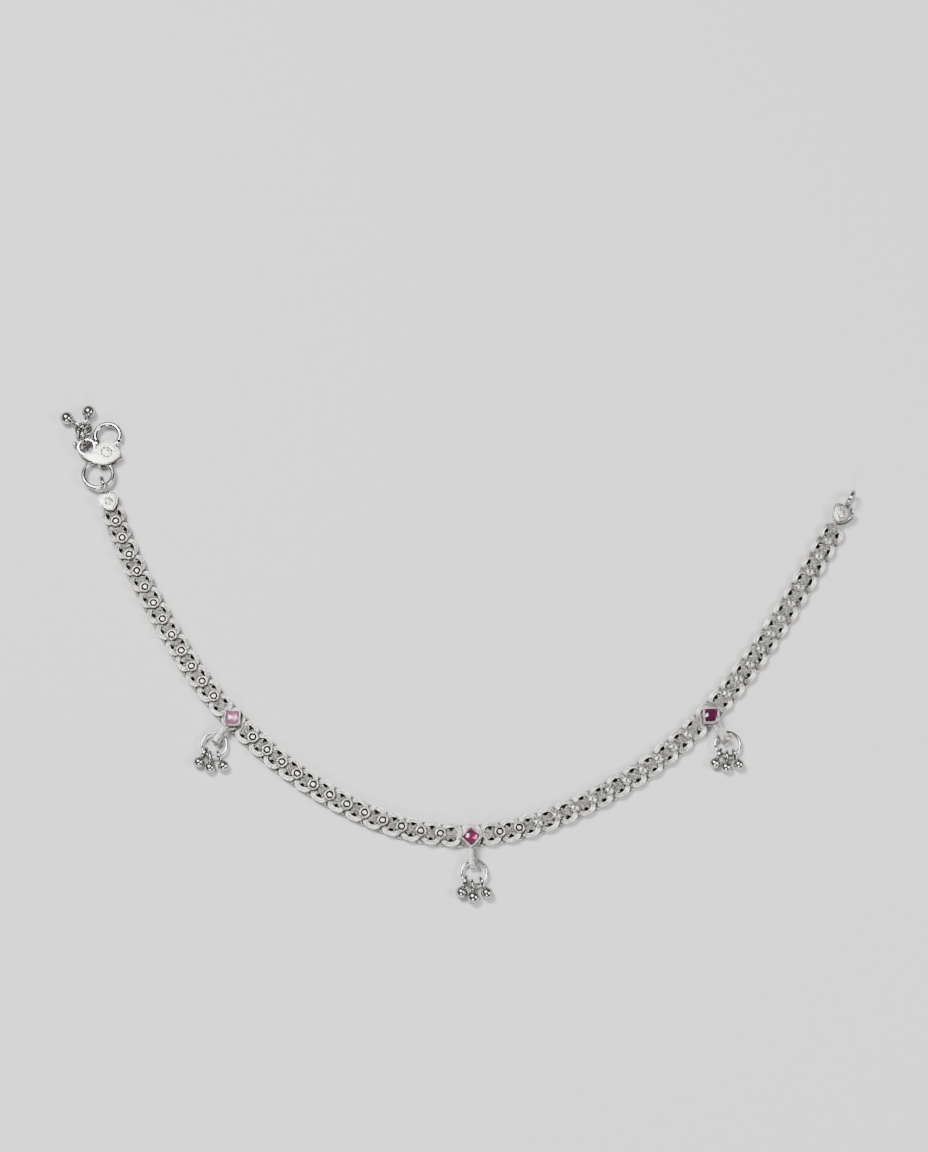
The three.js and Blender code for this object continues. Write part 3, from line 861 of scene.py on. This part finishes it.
@dataclass(frozen=True)
class Chain:
    """Flat payal chain: milled oval links over a lower row in their shade, darkened further by painted shade, with
    studs between them.

    Attributes:
        route: The centreline.
        count: Number of upper links.
        first: Station of the first link.
        pitch: Distance between links.
        half_length: Half size of a link along the chain.
        half_width: Half size of a link across the chain.
        tilt: Lean of each link along the chain, in degrees.
    """

    route: Route
    count: int = 54
    first: float = 1.6
    pitch: float = 4.469
    half_length: float = 2.52
    half_width: float = 2.76
    tilt: float = 6.0

    def station(self, index: float) -> float:
        """Return the station of a link's centre."""
        return self.first + index * self.pitch

    def link(self, rng: np.random.Generator) -> Kit:
        """Make one upper link with its granulated web.

        Args:
            rng: Source of the small differences between links.

        Returns:
            The link's surfaces, in its own frame.
        """
        kit: Kit = []
        for inset, wire, height, milling, notches in (
            (0.20, 0.20, 1.38, 0.0, 0),
            (0.52, 0.17, 1.47, 0.22, 34),
            (0.84, 0.19, 1.44, 0.0, 0),
        ):
            half_x = self.half_length - inset
            half_y = self.half_width - inset
            steps = 68 if notches else 40
            ring = wire_ring(half_x, half_y, wire, steps, 7, Tone.BAND, None, milling, notches, 1.0)
            kit.append(ring.placed(shift(0, 0, height)))
        outer = wire_ring(self.half_length - 0.3, self.half_width - 0.3, 0.26, 40, 7, Tone.BAND, fullness=1.0)
        kit.append(outer.placed(shift(0, 0, 1.08)))
        angle = np.linspace(0, 2 * math.pi, 28, endpoint=False)
        # The dark plate under the link's holes is a sheet of painted shadow.
        floor = np.column_stack([1.7 * np.cos(angle), 2.2 * np.sin(angle)])
        kit.append(plate(floor, (0, 0), 0.82, 1.0, 0.02, None, Tone.SHADOW, 3))
        web = np.column_stack([1.56 * np.cos(angle), 0.82 * np.sin(angle)])
        kit.append(plate(web, (0, 0), 0.9, 1.36, 0.1, None, Tone.GRAIN, 4))
        for row in range(-4, 5):
            for column in range(-4, 5):
                x = (column + 0.5 * (row % 2)) * 0.44 + rng.normal(0, 0.025)
                y = row * 0.39 + rng.normal(0, 0.025)
                inside = math.hypot(x / 1.5, y / 1.74) < 1
                in_hole = math.hypot(x / 0.62, (abs(y) - 1.3) / 0.5) < 1
                if inside and not in_hole:
                    grain = ball(0.26 + rng.uniform(-0.03, 0.03), 8, 4)
                    kit.append(grain.placed(shift(x, y, 1.38 + rng.uniform(-0.06, 0.06))))
        return kit

    def under_link(self, rng: np.random.Generator) -> Kit:
        """Make one link of the lower row.

        Args:
            rng: Source of the small differences between links.

        Returns:
            The link's surfaces, in its own frame.
        """
        angle = np.linspace(0, 2 * math.pi, 32, endpoint=False)
        back = np.column_stack([1.9 * np.cos(angle), 2.48 * np.sin(angle)])
        kit = [plate(back, (0, 0), 0.0, 0.5, 0.04, None, Tone.GRAIN, 3)]
        kit.append(wire_ring(1.76, 2.36, 0.27, 40, 7, Tone.BAND).placed(shift(0, 0, 0.5)))
        kit.append(wire_ring(1.76, 2.36, 0.27, 40, 7, Tone.BAND).placed(shift(0, 0, 0.29)))
        kit.append(wire_ring(1.32, 1.9, 0.18, 36, 6, Tone.BAND).placed(shift(0, 0, 0.62)))
        for side in (-1, 1):
            for along, out in ((-0.42, 2.0), (0.0, 2.18), (0.42, 2.0), (0.0, 1.7)):
                grain = ball(0.24 + rng.uniform(-0.03, 0.03), 8, 4)
                x = along + rng.normal(0, 0.03)
                kit.append(grain.placed(shift(x, side * out, 0.86 + rng.uniform(-0.05, 0.05))))
        return kit

    def cup_stud(self) -> Kit:
        """Make a stud with a raised rim round a recess with a floor of painted shadow and a dome in its middle."""
        rim = [(0.9, 1.3), (0.84, 1.9), (0.87, 2.16), (0.97, 2.28), (1.08, 2.3), (1.2, 2.22), (1.28, 2.04)]
        wall = np.array([*rim, (1.28, 1.3)])
        angle = np.linspace(0, 2 * math.pi, 32, endpoint=False)
        outward = np.column_stack([np.cos(angle), np.sin(angle), np.zeros(32)])
        up = np.tile([0.0, 0.0, 1.0], (32, 1))
        ring = sweep(np.zeros((32, 3)), outward, up, wall, True, tone=Tone.BAND)
        # The recess's dark floor is painted shadow.
        floor = lathe([(0, 1.9), (0.7, 1.9), (1.0, 1.88), (1.0, 1.4), (0, 1.35)], 24, Tone.SHADOW)
        dome = lathe([(0, 2.2), (0.1, 2.2), (0.26, 2.27), (0.46, 2.2), (0.6, 2.04), (0.64, 1.8), (0, 1.75)], 24, Tone.BAND)
        return [ring, floor, dome]

    def rose_stud(self, rng: np.random.Generator) -> Kit:
        """Make a lump of grains round a small pit.

        Args:
            rng: Source of the small differences between studs.

        Returns:
            The stud's surfaces, at the origin.
        """
        profile = [
            (0.0, 1.9),
            (0.12, 1.92),
            (0.22, 2.16),
            (0.42, 2.25),
            (0.66, 2.18),
            (0.95, 2.0),
            (1.16, 1.72),
            (1.1, 1.25),
            (0.0, 1.2),
        ]
        kit = [lathe(profile, 24, Tone.GRAIN)]
        offset = rng.uniform(0, 60)
        for index in range(7):
            angle = math.radians(offset + index * 360 / 7)
            radius = 0.95 + rng.normal(0, 0.04)
            grain = ball(0.3 + rng.uniform(-0.04, 0.03))
            kit.append(grain.placed(shift(radius * math.cos(angle), radius * math.sin(angle), 1.93)))
        return kit

    def upper(self, index: int, rng: np.random.Generator) -> Kit:
        """Place one upper link with a little play in its turn and lean.

        Args:
            index: The link's number.
            rng: Source of the small differences.

        Returns:
            The link's surfaces in the anklet's frame.
        """
        pivot = shift(0, 0, 1.2) @ turn(-self.tilt + rng.normal(0, 0.6), "Y") @ shift(0, 0, -1.2)
        return placed(self.link(rng), self.route.frame(self.station(index)) @ turn(rng.normal(0, 1.0)) @ pivot)

    def stretch(self, first: int, last: int, seed: int) -> Kit:
        """Make one stretch of chain.

        Args:
            first: Its first link.
            last: Its last link.
            seed: Seed of the small differences between links.

        Returns:
            The stretch's surfaces in the anklet's frame.
        """
        rng = np.random.default_rng(seed)
        kit: Kit = []
        lower = list(range(first, last))
        lower += [first - 1] if first > 0 else []
        lower += [last] if last < self.count - 1 else []
        for index in range(first, last + 1):
            kit += self.upper(index, rng)
            if index < last:
                ahead = self.station(index) + 1.75 + 0.65 * index / self.count
                stud = self.cup_stud() if index < 30 else self.rose_stud(rng)
                kit += placed(stud, self.route.frame(ahead))
        for index in lower:
            kit += placed(self.under_link(rng), self.route.frame(self.station(index + 0.5)))
        if first == 0:
            kit.append(self.tongue(-1.85, 0.6))
        if last == self.count - 1:
            kit.append(self.tongue(self.station(last) + 1.0, self.station(last) + 3.45))
        return kit

    def tongue(self, start: float, end: float) -> Surface:
        """Make the flat end that a cap holds, between two stations."""
        rows = []
        for station in np.linspace(start, end, 5):
            x, y = self.route.frame(float(station))[:2, 3]
            rows.append((x, y, 1.15))
        return bar(rows, 1.2, 0.28, Tone.BAND, 12)


# ---------------------------------------------------------------- stone settings and drops


@dataclass(frozen=True)
class Bell:
    """A small ball with a soldered eye.

    Attributes:
        ball: Diameter of the ball.
        long: Half length of the eye, along the bell.
        radius: Half width of the eye.
        wire: Radius of the eye's wire.
    """

    ball: float
    long: float = 1.3
    radius: float = 1.02
    wire: float = 0.33

    def build(self) -> Kit:
        """Make the bell with its ball at the origin and its eye towards +X."""
        radius = self.ball / 2
        collar = 0.42
        join = math.asin(collar / radius)
        angles = np.linspace(math.pi, join, 22)
        profile = [(0.0, -radius)]
        profile += [(radius * math.sin(a), radius * math.cos(a)) for a in angles[1:]]
        neck = radius * math.cos(join)
        profile += [(collar + 0.05, neck + 0.04), (collar + 0.05, neck + 0.12), (collar - 0.06, neck + 0.18)]
        profile += [(0.0, neck + 0.19)]
        shell = lathe(profile, 36, Tone.POLISHED).placed(turn(90, "Y"))
        seam = wire_ring(radius - 0.02, radius - 0.02, 0.035, 44, 5, Tone.POLISHED).placed(turn(90, "Y"))
        eye = wire_ring(self.long, self.radius, self.wire, 32, 9, Tone.POLISHED, 0.0)
        reach = radius + self.long - 0.12
        return [shell, seam, eye.placed(shift(reach, 0, 0) @ turn(90, "X"))]


@dataclass(frozen=True)
class Setting:
    """A square stone in a milgrain frame on a link, with a ribbed bail and a drop of three bells.

    Attributes:
        name: left, centre or right.
        link: Number of the link that carries it.
        offset: Distance of the stone from the centreline, outwards.
        lean: Lean of the bail, in degrees.
        reach: Distance of the drop ring from the stone's centre.
        bells: Eye angle, ball centre from the ring's centre, and ball diameter of each bell.
        slot: Material slot of the stone; not used.
        gem: Finish of the stone.
    """

    name: str
    link: int
    offset: float
    lean: float
    reach: float
    bells: tuple[tuple[float, float, float, float], ...]
    slot: Slot
    gem: GemFinish
    side: float = 3.75
    wall: float = 0.42

    def frame_parts(self) -> Kit:
        """Make the square frame with its beaded edge, floor and foot, under a stone at the origin."""
        half = self.side / math.sqrt(2)
        angle = np.radians([0, 90, 180, 270])
        corner = np.column_stack([np.cos(angle), np.sin(angle), np.zeros(4)])
        up = np.tile([0.0, 0.0, 1.0], (4, 1))
        wall = self.wall * math.sqrt(2)
        section = np.array(
            [(0, 2.0), (0.0, 2.85), (-0.06, 3.04), (-0.18, 3.1), (-wall + 0.1, 3.1), (-wall, 3.02), (-wall, 2.0)]
        )
        kit = [sweep(corner * half, corner, up, section, True, tone=Tone.FRAME, smooth=False)]
        groove = np.array([(0.03, 2.25), (0.03, 2.4), (-0.1, 2.4), (-0.1, 2.25)])
        kit.append(sweep(corner * half, corner, up, groove, True, tone=Tone.BAND, smooth=False))
        square = resampled((corner * half)[:, :2], 16)
        # The dark floor under the stone is painted shadow.
        kit.append(plate(square, (0, 0), 1.9, 2.32, 0.0, None, Tone.SHADOW, 2))
        beads = 7
        middle = half - wall / 2
        for index in range(4):
            start, end = corner[index], corner[(index + 1) % 4]
            for step in range(beads):
                point = (start + (end - start) * step / beads) * middle
                kit.append(ball(0.215, 10, 6, Tone.FRAME).placed(shift(point[0], point[1], 3.12)))
        foot = [(0, 2.0), (1.05, 2.0), (0.95, 1.75), (1.1, 1.5), (1.1, 1.2), (0, 1.2)]
        kit.append(lathe(foot, 24, Tone.BAND))
        return kit

    def bail(self) -> Surface:
        """Make the ribbed strap that curls round the drop ring."""
        straight = np.linspace(2.3, 5.65, 66)
        curl = np.radians(np.linspace(90, -130, 76))[1:]
        out = np.concatenate([straight, 5.65 + 1.1 * np.cos(curl)])
        high = np.concatenate([np.full(len(straight), 2.5), 1.4 + 1.1 * np.sin(curl)])
        path = np.column_stack([np.zeros(len(out)), -out, high])
        ahead = np.gradient(path, axis=0)
        ahead /= np.linalg.norm(ahead, axis=1, keepdims=True)
        across = np.tile([1.0, 0.0, 0.0], (len(path), 1))
        outward = np.cross(across, ahead)
        run = np.concatenate([[0], np.cumsum(np.linalg.norm(np.diff(path, axis=0), axis=1))])
        rib = np.abs(np.sin(math.pi * run / 0.46)) ** 0.7
        section = soft_box(1.0, 0.22, 0.17)
        return sweep(path, across, outward, section, False, 0.92 + 0.09 * rib, 0.6 + 0.6 * rib, Tone.BAND)

    def stone(self) -> Kit:
        """Make the square stone: a faceted crown over a stepped back."""
        half = (self.side - 2 * self.wall - 0.06) / math.sqrt(2)
        rows = [(0.50, 3.28, 0.0), (0.80, 3.12, 0.0), (0.985, 2.93, 0.0), (0.985, 2.84, 0.0)]
        points = []
        for share, height, _ in rows:
            for angle in (0, 90, 180, 270):
                a = math.radians(angle)
                points.append((half * share * math.cos(a), half * share * math.sin(a), height))
        for angle in (45, 135, 225, 315):
            a = math.radians(angle)
            points.append((half * 0.52 * math.cos(a), half * 0.52 * math.sin(a), 3.15))
        points.append((0, 0, 2.83))
        crown = hull(np.array(points), Tone.GEM)
        back = []
        for share, height in ((0.97, 2.815), (0.62, 2.62), (0.30, 2.50)):
            for angle in (0, 90, 180, 270):
                a = math.radians(angle)
                back.append((half * share * math.cos(a), half * share * math.sin(a), height))
        corners = np.array(back)
        quads = grid_faces(3, 4, False)
        tip = np.array([(0, 0, 2.44), (0, 0, 2.66)])
        outer = np.arange(4)
        inner = outer + 8
        fans = [np.stack([inner, np.roll(inner, -1), np.full(4, 12)], axis=-1)]
        fans.append(np.stack([np.roll(outer, -1), outer, np.full(4, 13)], axis=-1))
        foil = Surface(np.vstack([corners, tip]), quads, np.vstack(fans), Tone.FOIL, False)
        return [crown, foil.turned_out()]

    def build(self, workshop: Workshop, chain: Chain) -> None:
        """Build the setting, its stone, its ring and its bells."""
        rng = np.random.default_rng(self.link)
        place = chain.route.frame(chain.station(self.link)) @ shift(0, -self.offset)
        own = placed(self.frame_parts(), place) + [self.bail().placed(place @ turn(self.lean))]
        workshop.piece(f"setting_{self.name}", own + chain.upper(self.link, rng))
        workshop.piece(f"stone_{self.name}", placed(self.stone(), place), gem=self.gem)
        lean = math.radians(self.lean)
        centre = place @ np.array([self.reach * math.sin(lean), -self.reach * math.cos(lean), 0, 1])
        ring = wire_ring(2.85, 2.85, 0.36, 64, 10, Tone.POLISHED, 200.0)
        middle = shift(centre[0], centre[1])
        workshop.piece(f"drop_ring_{self.name}", [ring.placed(middle @ shift(0, 0, 1.38))])
        for number, (angle, x, y, size) in enumerate(self.bells, start=1):
            held = (2.85 * math.sin(math.radians(angle)), -2.85 * math.cos(math.radians(angle)))
            heading = math.degrees(math.atan2(held[1] - y, held[0] - x))
            height = max(size / 2, 1.3) + 0.02
            kit = placed(Bell(size).build(), middle @ shift(x, y, height) @ turn(heading))
            workshop.piece(f"{self.name}_bell_{number}", kit)


# ---------------------------------------------------------------- end caps


@dataclass(frozen=True)
class EndCap:
    """Heart-shaped clamp on a chain's end, with an upright eye.

    Attributes:
        node: CAD node that it stands for.
        petals: Number of petals in the relief on its face.
        swirl: How far the petals are twisted.
    """

    node: str
    petals: int
    swirl: float

    @staticmethod
    def heart() -> Array:
        """Return the heart outline, with its tip towards +X."""
        back, half, end = -3.95, 2.55, 0.85
        lobe = half / 2
        points = [(back + 0.42, 0.0)]
        points += arc(back + lobe, -lobe, lobe, 145, 288, 14)
        points += bend((back + lobe + 0.38, -half + 0.07), (end - 1.0, -half * 0.75), (end, 0.0))
        points += bend((end, 0.0), (end - 1.0, half * 0.75), (back + lobe + 0.38, half - 0.07))[1:]
        points += arc(back + lobe, lobe, lobe, 72, 215, 14)
        return resampled(np.array(points), 88)

    def relief(self, points: Array) -> Array:
        """Return the height of the raised petals and of the rim's line."""
        away = points - np.array([-1.75, 0.0])
        radius = np.hypot(away[:, 0], away[:, 1])
        angle = np.arctan2(away[:, 1], away[:, 0]) + self.swirl * radius
        petals = 0.04 * np.sin(angle * self.petals) * np.clip(radius / 0.5, 0, 1)
        boss = 0.07 * np.exp(-((radius / 0.34) ** 2))
        ring = -0.09 * np.exp(-(((radius - 0.95) / 0.09) ** 2))
        hammered = 0.022 * np.sin(points[:, 0] * 8.0) * np.sin(points[:, 1] * 8.0) * (radius > 1.0)
        return petals * (radius < 1.0) + boss + ring + hammered

    def build(self) -> Kit:
        """Make the cap for a chain that runs along +X."""
        heart = self.heart()
        shifted = heart * np.array([0.995, 0.985])
        kit = [plate(shifted, (-1.9, 0.0), 1.9, 2.66, 0.2, self.relief, Tone.ENGRAVED, 20)]
        kit.append(plate(heart, (-1.9, 0.0), 0.0, 0.45, 0.05, None, Tone.ENGRAVED, 6))
        kit.append(rim_wire(shifted, (-1.9, 0.0), 0.93, 2.5, 0.15))
        kit.append(bar([(-3.35, -1.2, 0.6), (-3.35, 0, 0.6), (-3.35, 1.2, 0.6)], 1.38, 1.2, Tone.BAND, 12))
        kit.append(bar([(-4.7, 0, 0.5), (-4.2, 0, 0.52), (-3.7, 0, 0.6)], 1.7, 0.65, Tone.POLISHED, 8))
        eye = wire_ring(1.68, 1.68, 0.5, 48, 12, Tone.POLISHED)
        kit.append(eye.placed(shift(-6.15, 0, 2.14) @ turn(90, "X")))
        return kit


# ---------------------------------------------------------------- clasp


@dataclass(frozen=True)
class Clasp:
    """Claw clasp with heart-shaped plates; its own origin is the centre of the hook's ring.

    Attributes:
        x: Origin in the anklet's frame.
        y: Origin in the anklet's frame.
        hook: Radius of the hook's ring.
        wire: Radius of its wire.
        eye: Centre of the eye at the clasp's side.
        pivot: Centre of the lever's pin.
    """

    x: float
    y: float
    hook: float = 2.9
    wire: float = 0.65
    eye: tuple[float, float] = (-4.7, -3.3)
    pivot: tuple[float, float] = (-1.5, -4.67)

    def heart(self, open_eye: bool) -> Array:
        """Return the outline of a plate, with or without the bay for the eye."""
        points = arc(*self.eye, 1.46, 345, 262, 9) if open_eye else [(-3.5, -3.7)]
        points = points[::-1] if open_eye else points
        outline = list(points)
        outline += bend((-3.5, -3.6), (-2.6, -2.3), (-1.5, -2.25))
        outline += arc(0.1, -3.4, 1.85, 144, 36, 14)
        outline += bend((3.1, -4.1), (3.6, -4.9), (3.35, -5.6), 8)
        outline += bend((3.35, -5.6), (1.2, -7.9), (-0.9, -7.85), 14)[1:]
        outline += bend((-0.9, -7.85), (-3.6, -7.6), (-5.9, -5.4), 14)[1:]
        return resampled(np.array(outline), 120)

    def relief(self, points: Array) -> Array:
        """Return the height of a fan of leaves round a bud."""
        away = points - np.array([0.1, -4.6])
        radius = np.hypot(away[:, 0], away[:, 1])
        angle = np.arctan2(away[:, 1], away[:, 0])
        leaves = 0.028 * np.sin(angle * 8 + 1.2 * radius) * np.clip(radius / 0.6, 0, 1) * np.exp(-((radius / 1.7) ** 4))
        bud = 0.07 * np.exp(-((radius / 0.4) ** 2))
        groove = -0.1 * np.exp(-(((radius - 1.25) / 0.1) ** 2))
        hammered = 0.02 * np.sin(points[:, 0] * 7.5) * np.sin(points[:, 1] * 7.5) * (radius > 1.3)
        return leaves + bud + groove + hammered

    def body(self) -> Kit:
        """Make the plates, the eye, the posts and the hook."""
        front = self.heart(True)
        kit = [plate(front, (-0.6, -5.2), 2.3, 2.86, 0.16, self.relief, Tone.ENGRAVED, 26)]
        kit.append(rim_wire(front, (-0.6, -5.2), 0.94, 2.68, 0.13))
        kit.append(plate(self.heart(False), (-0.6, -5.2), 0.0, 0.6, 0.06, None, Tone.ENGRAVED, 8))
        angle = np.radians(np.linspace(-14, 258, 56))
        outward = np.column_stack([np.cos(angle), np.sin(angle), np.zeros(len(angle))])
        up = np.tile([0.0, 0.0, 1.0], (len(angle), 1))
        path = outward * 1.925 + [*self.eye, 2.42]
        kit.append(sweep(path, outward, up, soft_box(0.52, 0.46, 0.34), False, tone=Tone.POLISHED))
        for x, y, radius, low, high in (
            (-2.45, -2.35, 0.85, 0.2, 2.86),
            (-1.7, -7.68, 0.38, 0.45, 2.4),
            (*self.pivot, 0.4, 0.45, 2.4),
        ):
            post = [(0, high), (radius - 0.12, high), (radius, high - 0.12), (radius, low), (0, low)]
            kit.append(lathe(post, 24, Tone.POLISHED).placed(shift(x, y)))
        turned = np.radians(np.linspace(-26.4, 226, 90))
        radial = np.column_stack([np.cos(turned), np.sin(turned), np.zeros(len(turned))])
        line = radial * self.hook + [0, 0, 1.45]
        rise = np.tile([0.0, 0.0, 1.0], (len(turned), 1))
        rounding = np.ones(len(turned))
        rounding[0] = 0.9
        section = round_section(self.wire, 14)
        kit.append(sweep(line, radial, rise, section, False, rounding, rounding, Tone.POLISHED))
        return kit

    def lever(self) -> Kit:
        """Make the lever: gate, boss, curved tail and thumb knob."""
        px, py = self.pivot
        gate = [(px + 0.3, py + 0.15, 0.5), (0.0, -3.84, 0.46), (0.5, -3.45, 0.46)]
        for angle in (-62, -55, -50, -45, -40, -36, -32.2):
            x, y = arc(0, 0, self.hook, angle, angle, 1)[0]
            gate.append((x, y, 0.6))
        tail = [(px - 0.2, py, 0.44), (-2.2, -4.75, 0.42), (-2.9, -4.95, 0.42)]
        tail += [(x, y, 0.42) for x, y in arc(*self.eye, 2.0, -68, -190, 14)]
        knob_x, knob_y = arc(*self.eye, 3.15, 160, 160, 1)[0]
        neck = [(self.eye[0] - 1.95, self.eye[1] + 0.35, 0.4), (knob_x, knob_y, 0.38)]
        knob = [(0, 2.3), (0.3, 2.27), (0.48, 2.15), (0.55, 1.95), (0.47, 1.85), (0.55, 1.75)]
        knob += [(0.47, 1.65), (0.55, 1.55), (0.55, 0.75), (0.42, 0.64), (0, 0.62)]
        boss = [(0, 1.62), (0.85, 1.62), (0.95, 1.52), (0.95, 0.92), (0.85, 0.82), (0, 0.82)]
        return [
            bar(gate, 1.45, 0.62, Tone.POLISHED, 48),
            bar(tail, 1.22, 0.4, Tone.POLISHED, 60),
            bar(neck, 1.22, 0.4, Tone.POLISHED, 8),
            lathe(knob, 24, Tone.POLISHED).placed(shift(knob_x, knob_y)),
            lathe(boss, 28, Tone.POLISHED).placed(shift(px, py)),
        ]

    def build(self, workshop: Workshop) -> None:
        """Build the clasp and what hangs on it."""
        home = shift(self.x, self.y)
        workshop.piece("clasp_body", placed(self.body(), home))
        workshop.piece("clasp_lever", placed(self.lever(), home), Body.LEVER)
        jump = wire_ring(3.48, 3.48, 0.58, 80, 14, Tone.POLISHED, 215.0)
        lying = home @ shift(-1.86, -9.95, 1.7) @ turn(-4.5, "X")
        workshop.piece("clasp_jump_ring", [jump.placed(lying)])
        link = wire_ring(2.1, 2.1, 0.37, 56, 10, Tone.POLISHED, 120.0)
        standing = home @ shift(-5.1, -0.75, 2.62) @ turn(81) @ turn(77, "X")
        workshop.piece("clasp_dangle_link", [link.placed(standing)])
        ring = wire_ring(1.75, 1.75, 0.35, 56, 10, Tone.POLISHED, 60.0)
        flat = home @ shift(-5.6, 1.0, 3.0) @ turn(-15, "X")
        workshop.piece("clasp_cluster_ring", [ring.placed(flat)])
        bells = (
            (3.1, 1.9, (-9.87, 4.42, 1.57), -39.0, 16.2),
            (3.2, 1.44, (-4.7, 5.99, 1.62), -100.4, 16.5),
            (2.3, 1.2, (-6.58, 0.26, 1.17), -97.0, 76.3),
        )
        for number, (size, long, where, heading, rise) in enumerate(bells, start=1):
            place = home @ shift(*where) @ turn(heading) @ turn(-rise, "Y")
            workshop.piece(f"clasp_bell_{number}", placed(Bell(size, long).build(), place))


# ---------------------------------------------------------------- the stage


@dataclass(frozen=True)
class Studio:
    """Pale floor, soft light and the camera.

    Attributes:
        camera: Place of the camera, in metres.
        target: Point that it looks at.
        lens: Focal length in millimetres.
    """

    camera: tuple[float, float, float] = (0.001858, -0.236349, 0.699306)
    target: tuple[float, float, float] = (0.001858, 0.018178, 0.0)
    lens: float = 100.0

    def floor(self) -> None:
        """Lay the pale surface."""
        mesh = bpy.data.meshes.new("floor")
        size = 6.0
        level = -0.0001
        corners = [(-size, -size, level), (size, -size, level), (size, size, level), (-size, size, level)]
        mesh.from_pydata(corners, [], [(0, 1, 2, 3)])
        material = bpy.data.materials.new("pale_surface")
        material.use_nodes = True
        nodes = NodeTree(material.node_tree)
        shader = material.node_tree.nodes["Principled BSDF"]
        shader.inputs["Roughness"].default_value = 0.85
        where = nodes.add("ShaderNodeTexCoord")
        cloud = nodes.add("ShaderNodeTexNoise", Scale=350.0, Detail=5.0)
        nodes.join(where.outputs["Object"], cloud.inputs["Vector"])
        tint = nodes.add("ShaderNodeMix", data_type="RGBA")
        tint.inputs[6].default_value = (0.74, 0.74, 0.745, 1)
        tint.inputs[7].default_value = (0.78, 0.78, 0.785, 1)
        nodes.join(cloud.outputs["Fac"], tint.inputs["Factor"])
        nodes.join(tint.outputs[2], shader.inputs["Base Color"])
        mesh.materials.append(material)
        thing = bpy.data.objects.new("floor", mesh)
        bpy.context.scene.collection.objects.link(thing)

    def lamp(self, name: str, place: tuple[float, float, float], size: float, power: float) -> None:
        """Add a square soft light that faces the anklet."""
        light = bpy.data.lights.new(name, "AREA")
        light.shape = "SQUARE"
        light.size = size
        light.energy = power
        thing = bpy.data.objects.new(name, light)
        thing.location = place
        thing.rotation_euler = (-Vector(place)).to_track_quat("-Z", "Y").to_euler()
        bpy.context.scene.collection.objects.link(thing)

    def build(self) -> None:
        """Set up the floor, the lights and the camera."""
        self.floor()
        self.lamp("key", (-0.3, 0.25, 0.8), 0.3, 13.0)
        self.lamp("fill", (0.6, -0.15, 0.6), 0.25, 5.0)
        self.lamp("front", (-0.1, -0.8, 0.5), 0.25, 4.0)
        world = bpy.data.worlds.new("studio")
        world.use_nodes = True
        world.node_tree.nodes["Background"].inputs["Color"].default_value = (0.75, 0.77, 0.8, 1)
        world.node_tree.nodes["Background"].inputs["Strength"].default_value = 0.12
        bpy.context.scene.world = world
        data = bpy.data.cameras.new("camera")
        data.lens = self.lens
        data.clip_start = 0.01
        data.clip_end = 20.0
        thing = bpy.data.objects.new("camera", data)
        thing.location = self.camera
        away = Vector(self.camera) - Vector(self.target)
        thing.rotation_euler = away.to_track_quat("Z", "Y").to_euler()
        bpy.context.scene.collection.objects.link(thing)
        bpy.context.scene.camera = thing


# ---------------------------------------------------------------- the anklet


def settings() -> list[Setting]:
    """Return the three stone settings, from the clasp end on."""
    light = GemFinish("pale_pink_stone", (0.86, 0.60, 0.76), (0.80, 0.45, 0.64), (0.38, 0.12, 0.27))
    plum = GemFinish("magenta_stone", (0.62, 0.20, 0.42), (0.55, 0.14, 0.33), (0.13, 0.012, 0.07))
    dark = GemFinish("dark_plum_stone", (0.42, 0.08, 0.27), (0.30, 0.04, 0.17), (0.05, 0.004, 0.03))
    left = ((-49, -3.4, -4.15, 2.5), (-18, -0.82, -5.45, 2.6), (24, 2.22, -5.1, 2.6))
    centre = ((-46, -2.85, -4.55, 2.65), (-8, -0.18, -5.75, 2.85), (38, 2.85, -4.8, 2.75))
    right = ((-42, -3.0, -4.55, 2.4), (-5, -0.44, -5.5, 2.6), (33, 2.44, -4.9, 2.5))
    return [
        Setting("left", 13, 0.3, 12.6, 7.2, left, Slot.LIGHT_STONE, light),
        Setting("centre", 27, 0.8, 2.7, 7.95, centre, Slot.MID_STONE, plum),
        Setting("right", 41, 0.9, -17.5, 7.35, right, Slot.DARK_STONE, dark),
    ]


def build_anklet(workshop: Workshop) -> None:
    """Build every piece of the anklet, from the clasp to the plain end."""
    route = Route()
    chain = Chain(route)
    stones = settings()
    Clasp(route.x - 1.6, route.y + 18.57).build(workshop)
    caps = (
        (EndCap("end_cap_left", 5, 0.9), route.frame(0.0)),
        (EndCap("end_cap_right", 6, 0.0), route.frame(route.length) @ turn(180)),
    )
    for cap, place in caps:
        workshop.piece(cap.node, placed(cap.build(), place))
    bounds = [-1, *[setting.link for setting in stones], chain.count]
    for number, (before, after) in enumerate(zip(bounds, bounds[1:]), start=1):
        workshop.piece(f"chain_{number}", chain.stretch(before + 1, after - 1, number))
    for setting in stones:
        setting.build(workshop, chain)


def main() -> None:
    """Build the scene in order."""
    logging.basicConfig(level=logging.INFO, format="%(name)s: %(message)s")
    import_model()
    Studio().build()
    workshop = Workshop(Wardrobe())
    build_anklet(workshop)
    LOG.info("%d pieces", len(workshop.made))


if __name__ == "__main__":
    main()
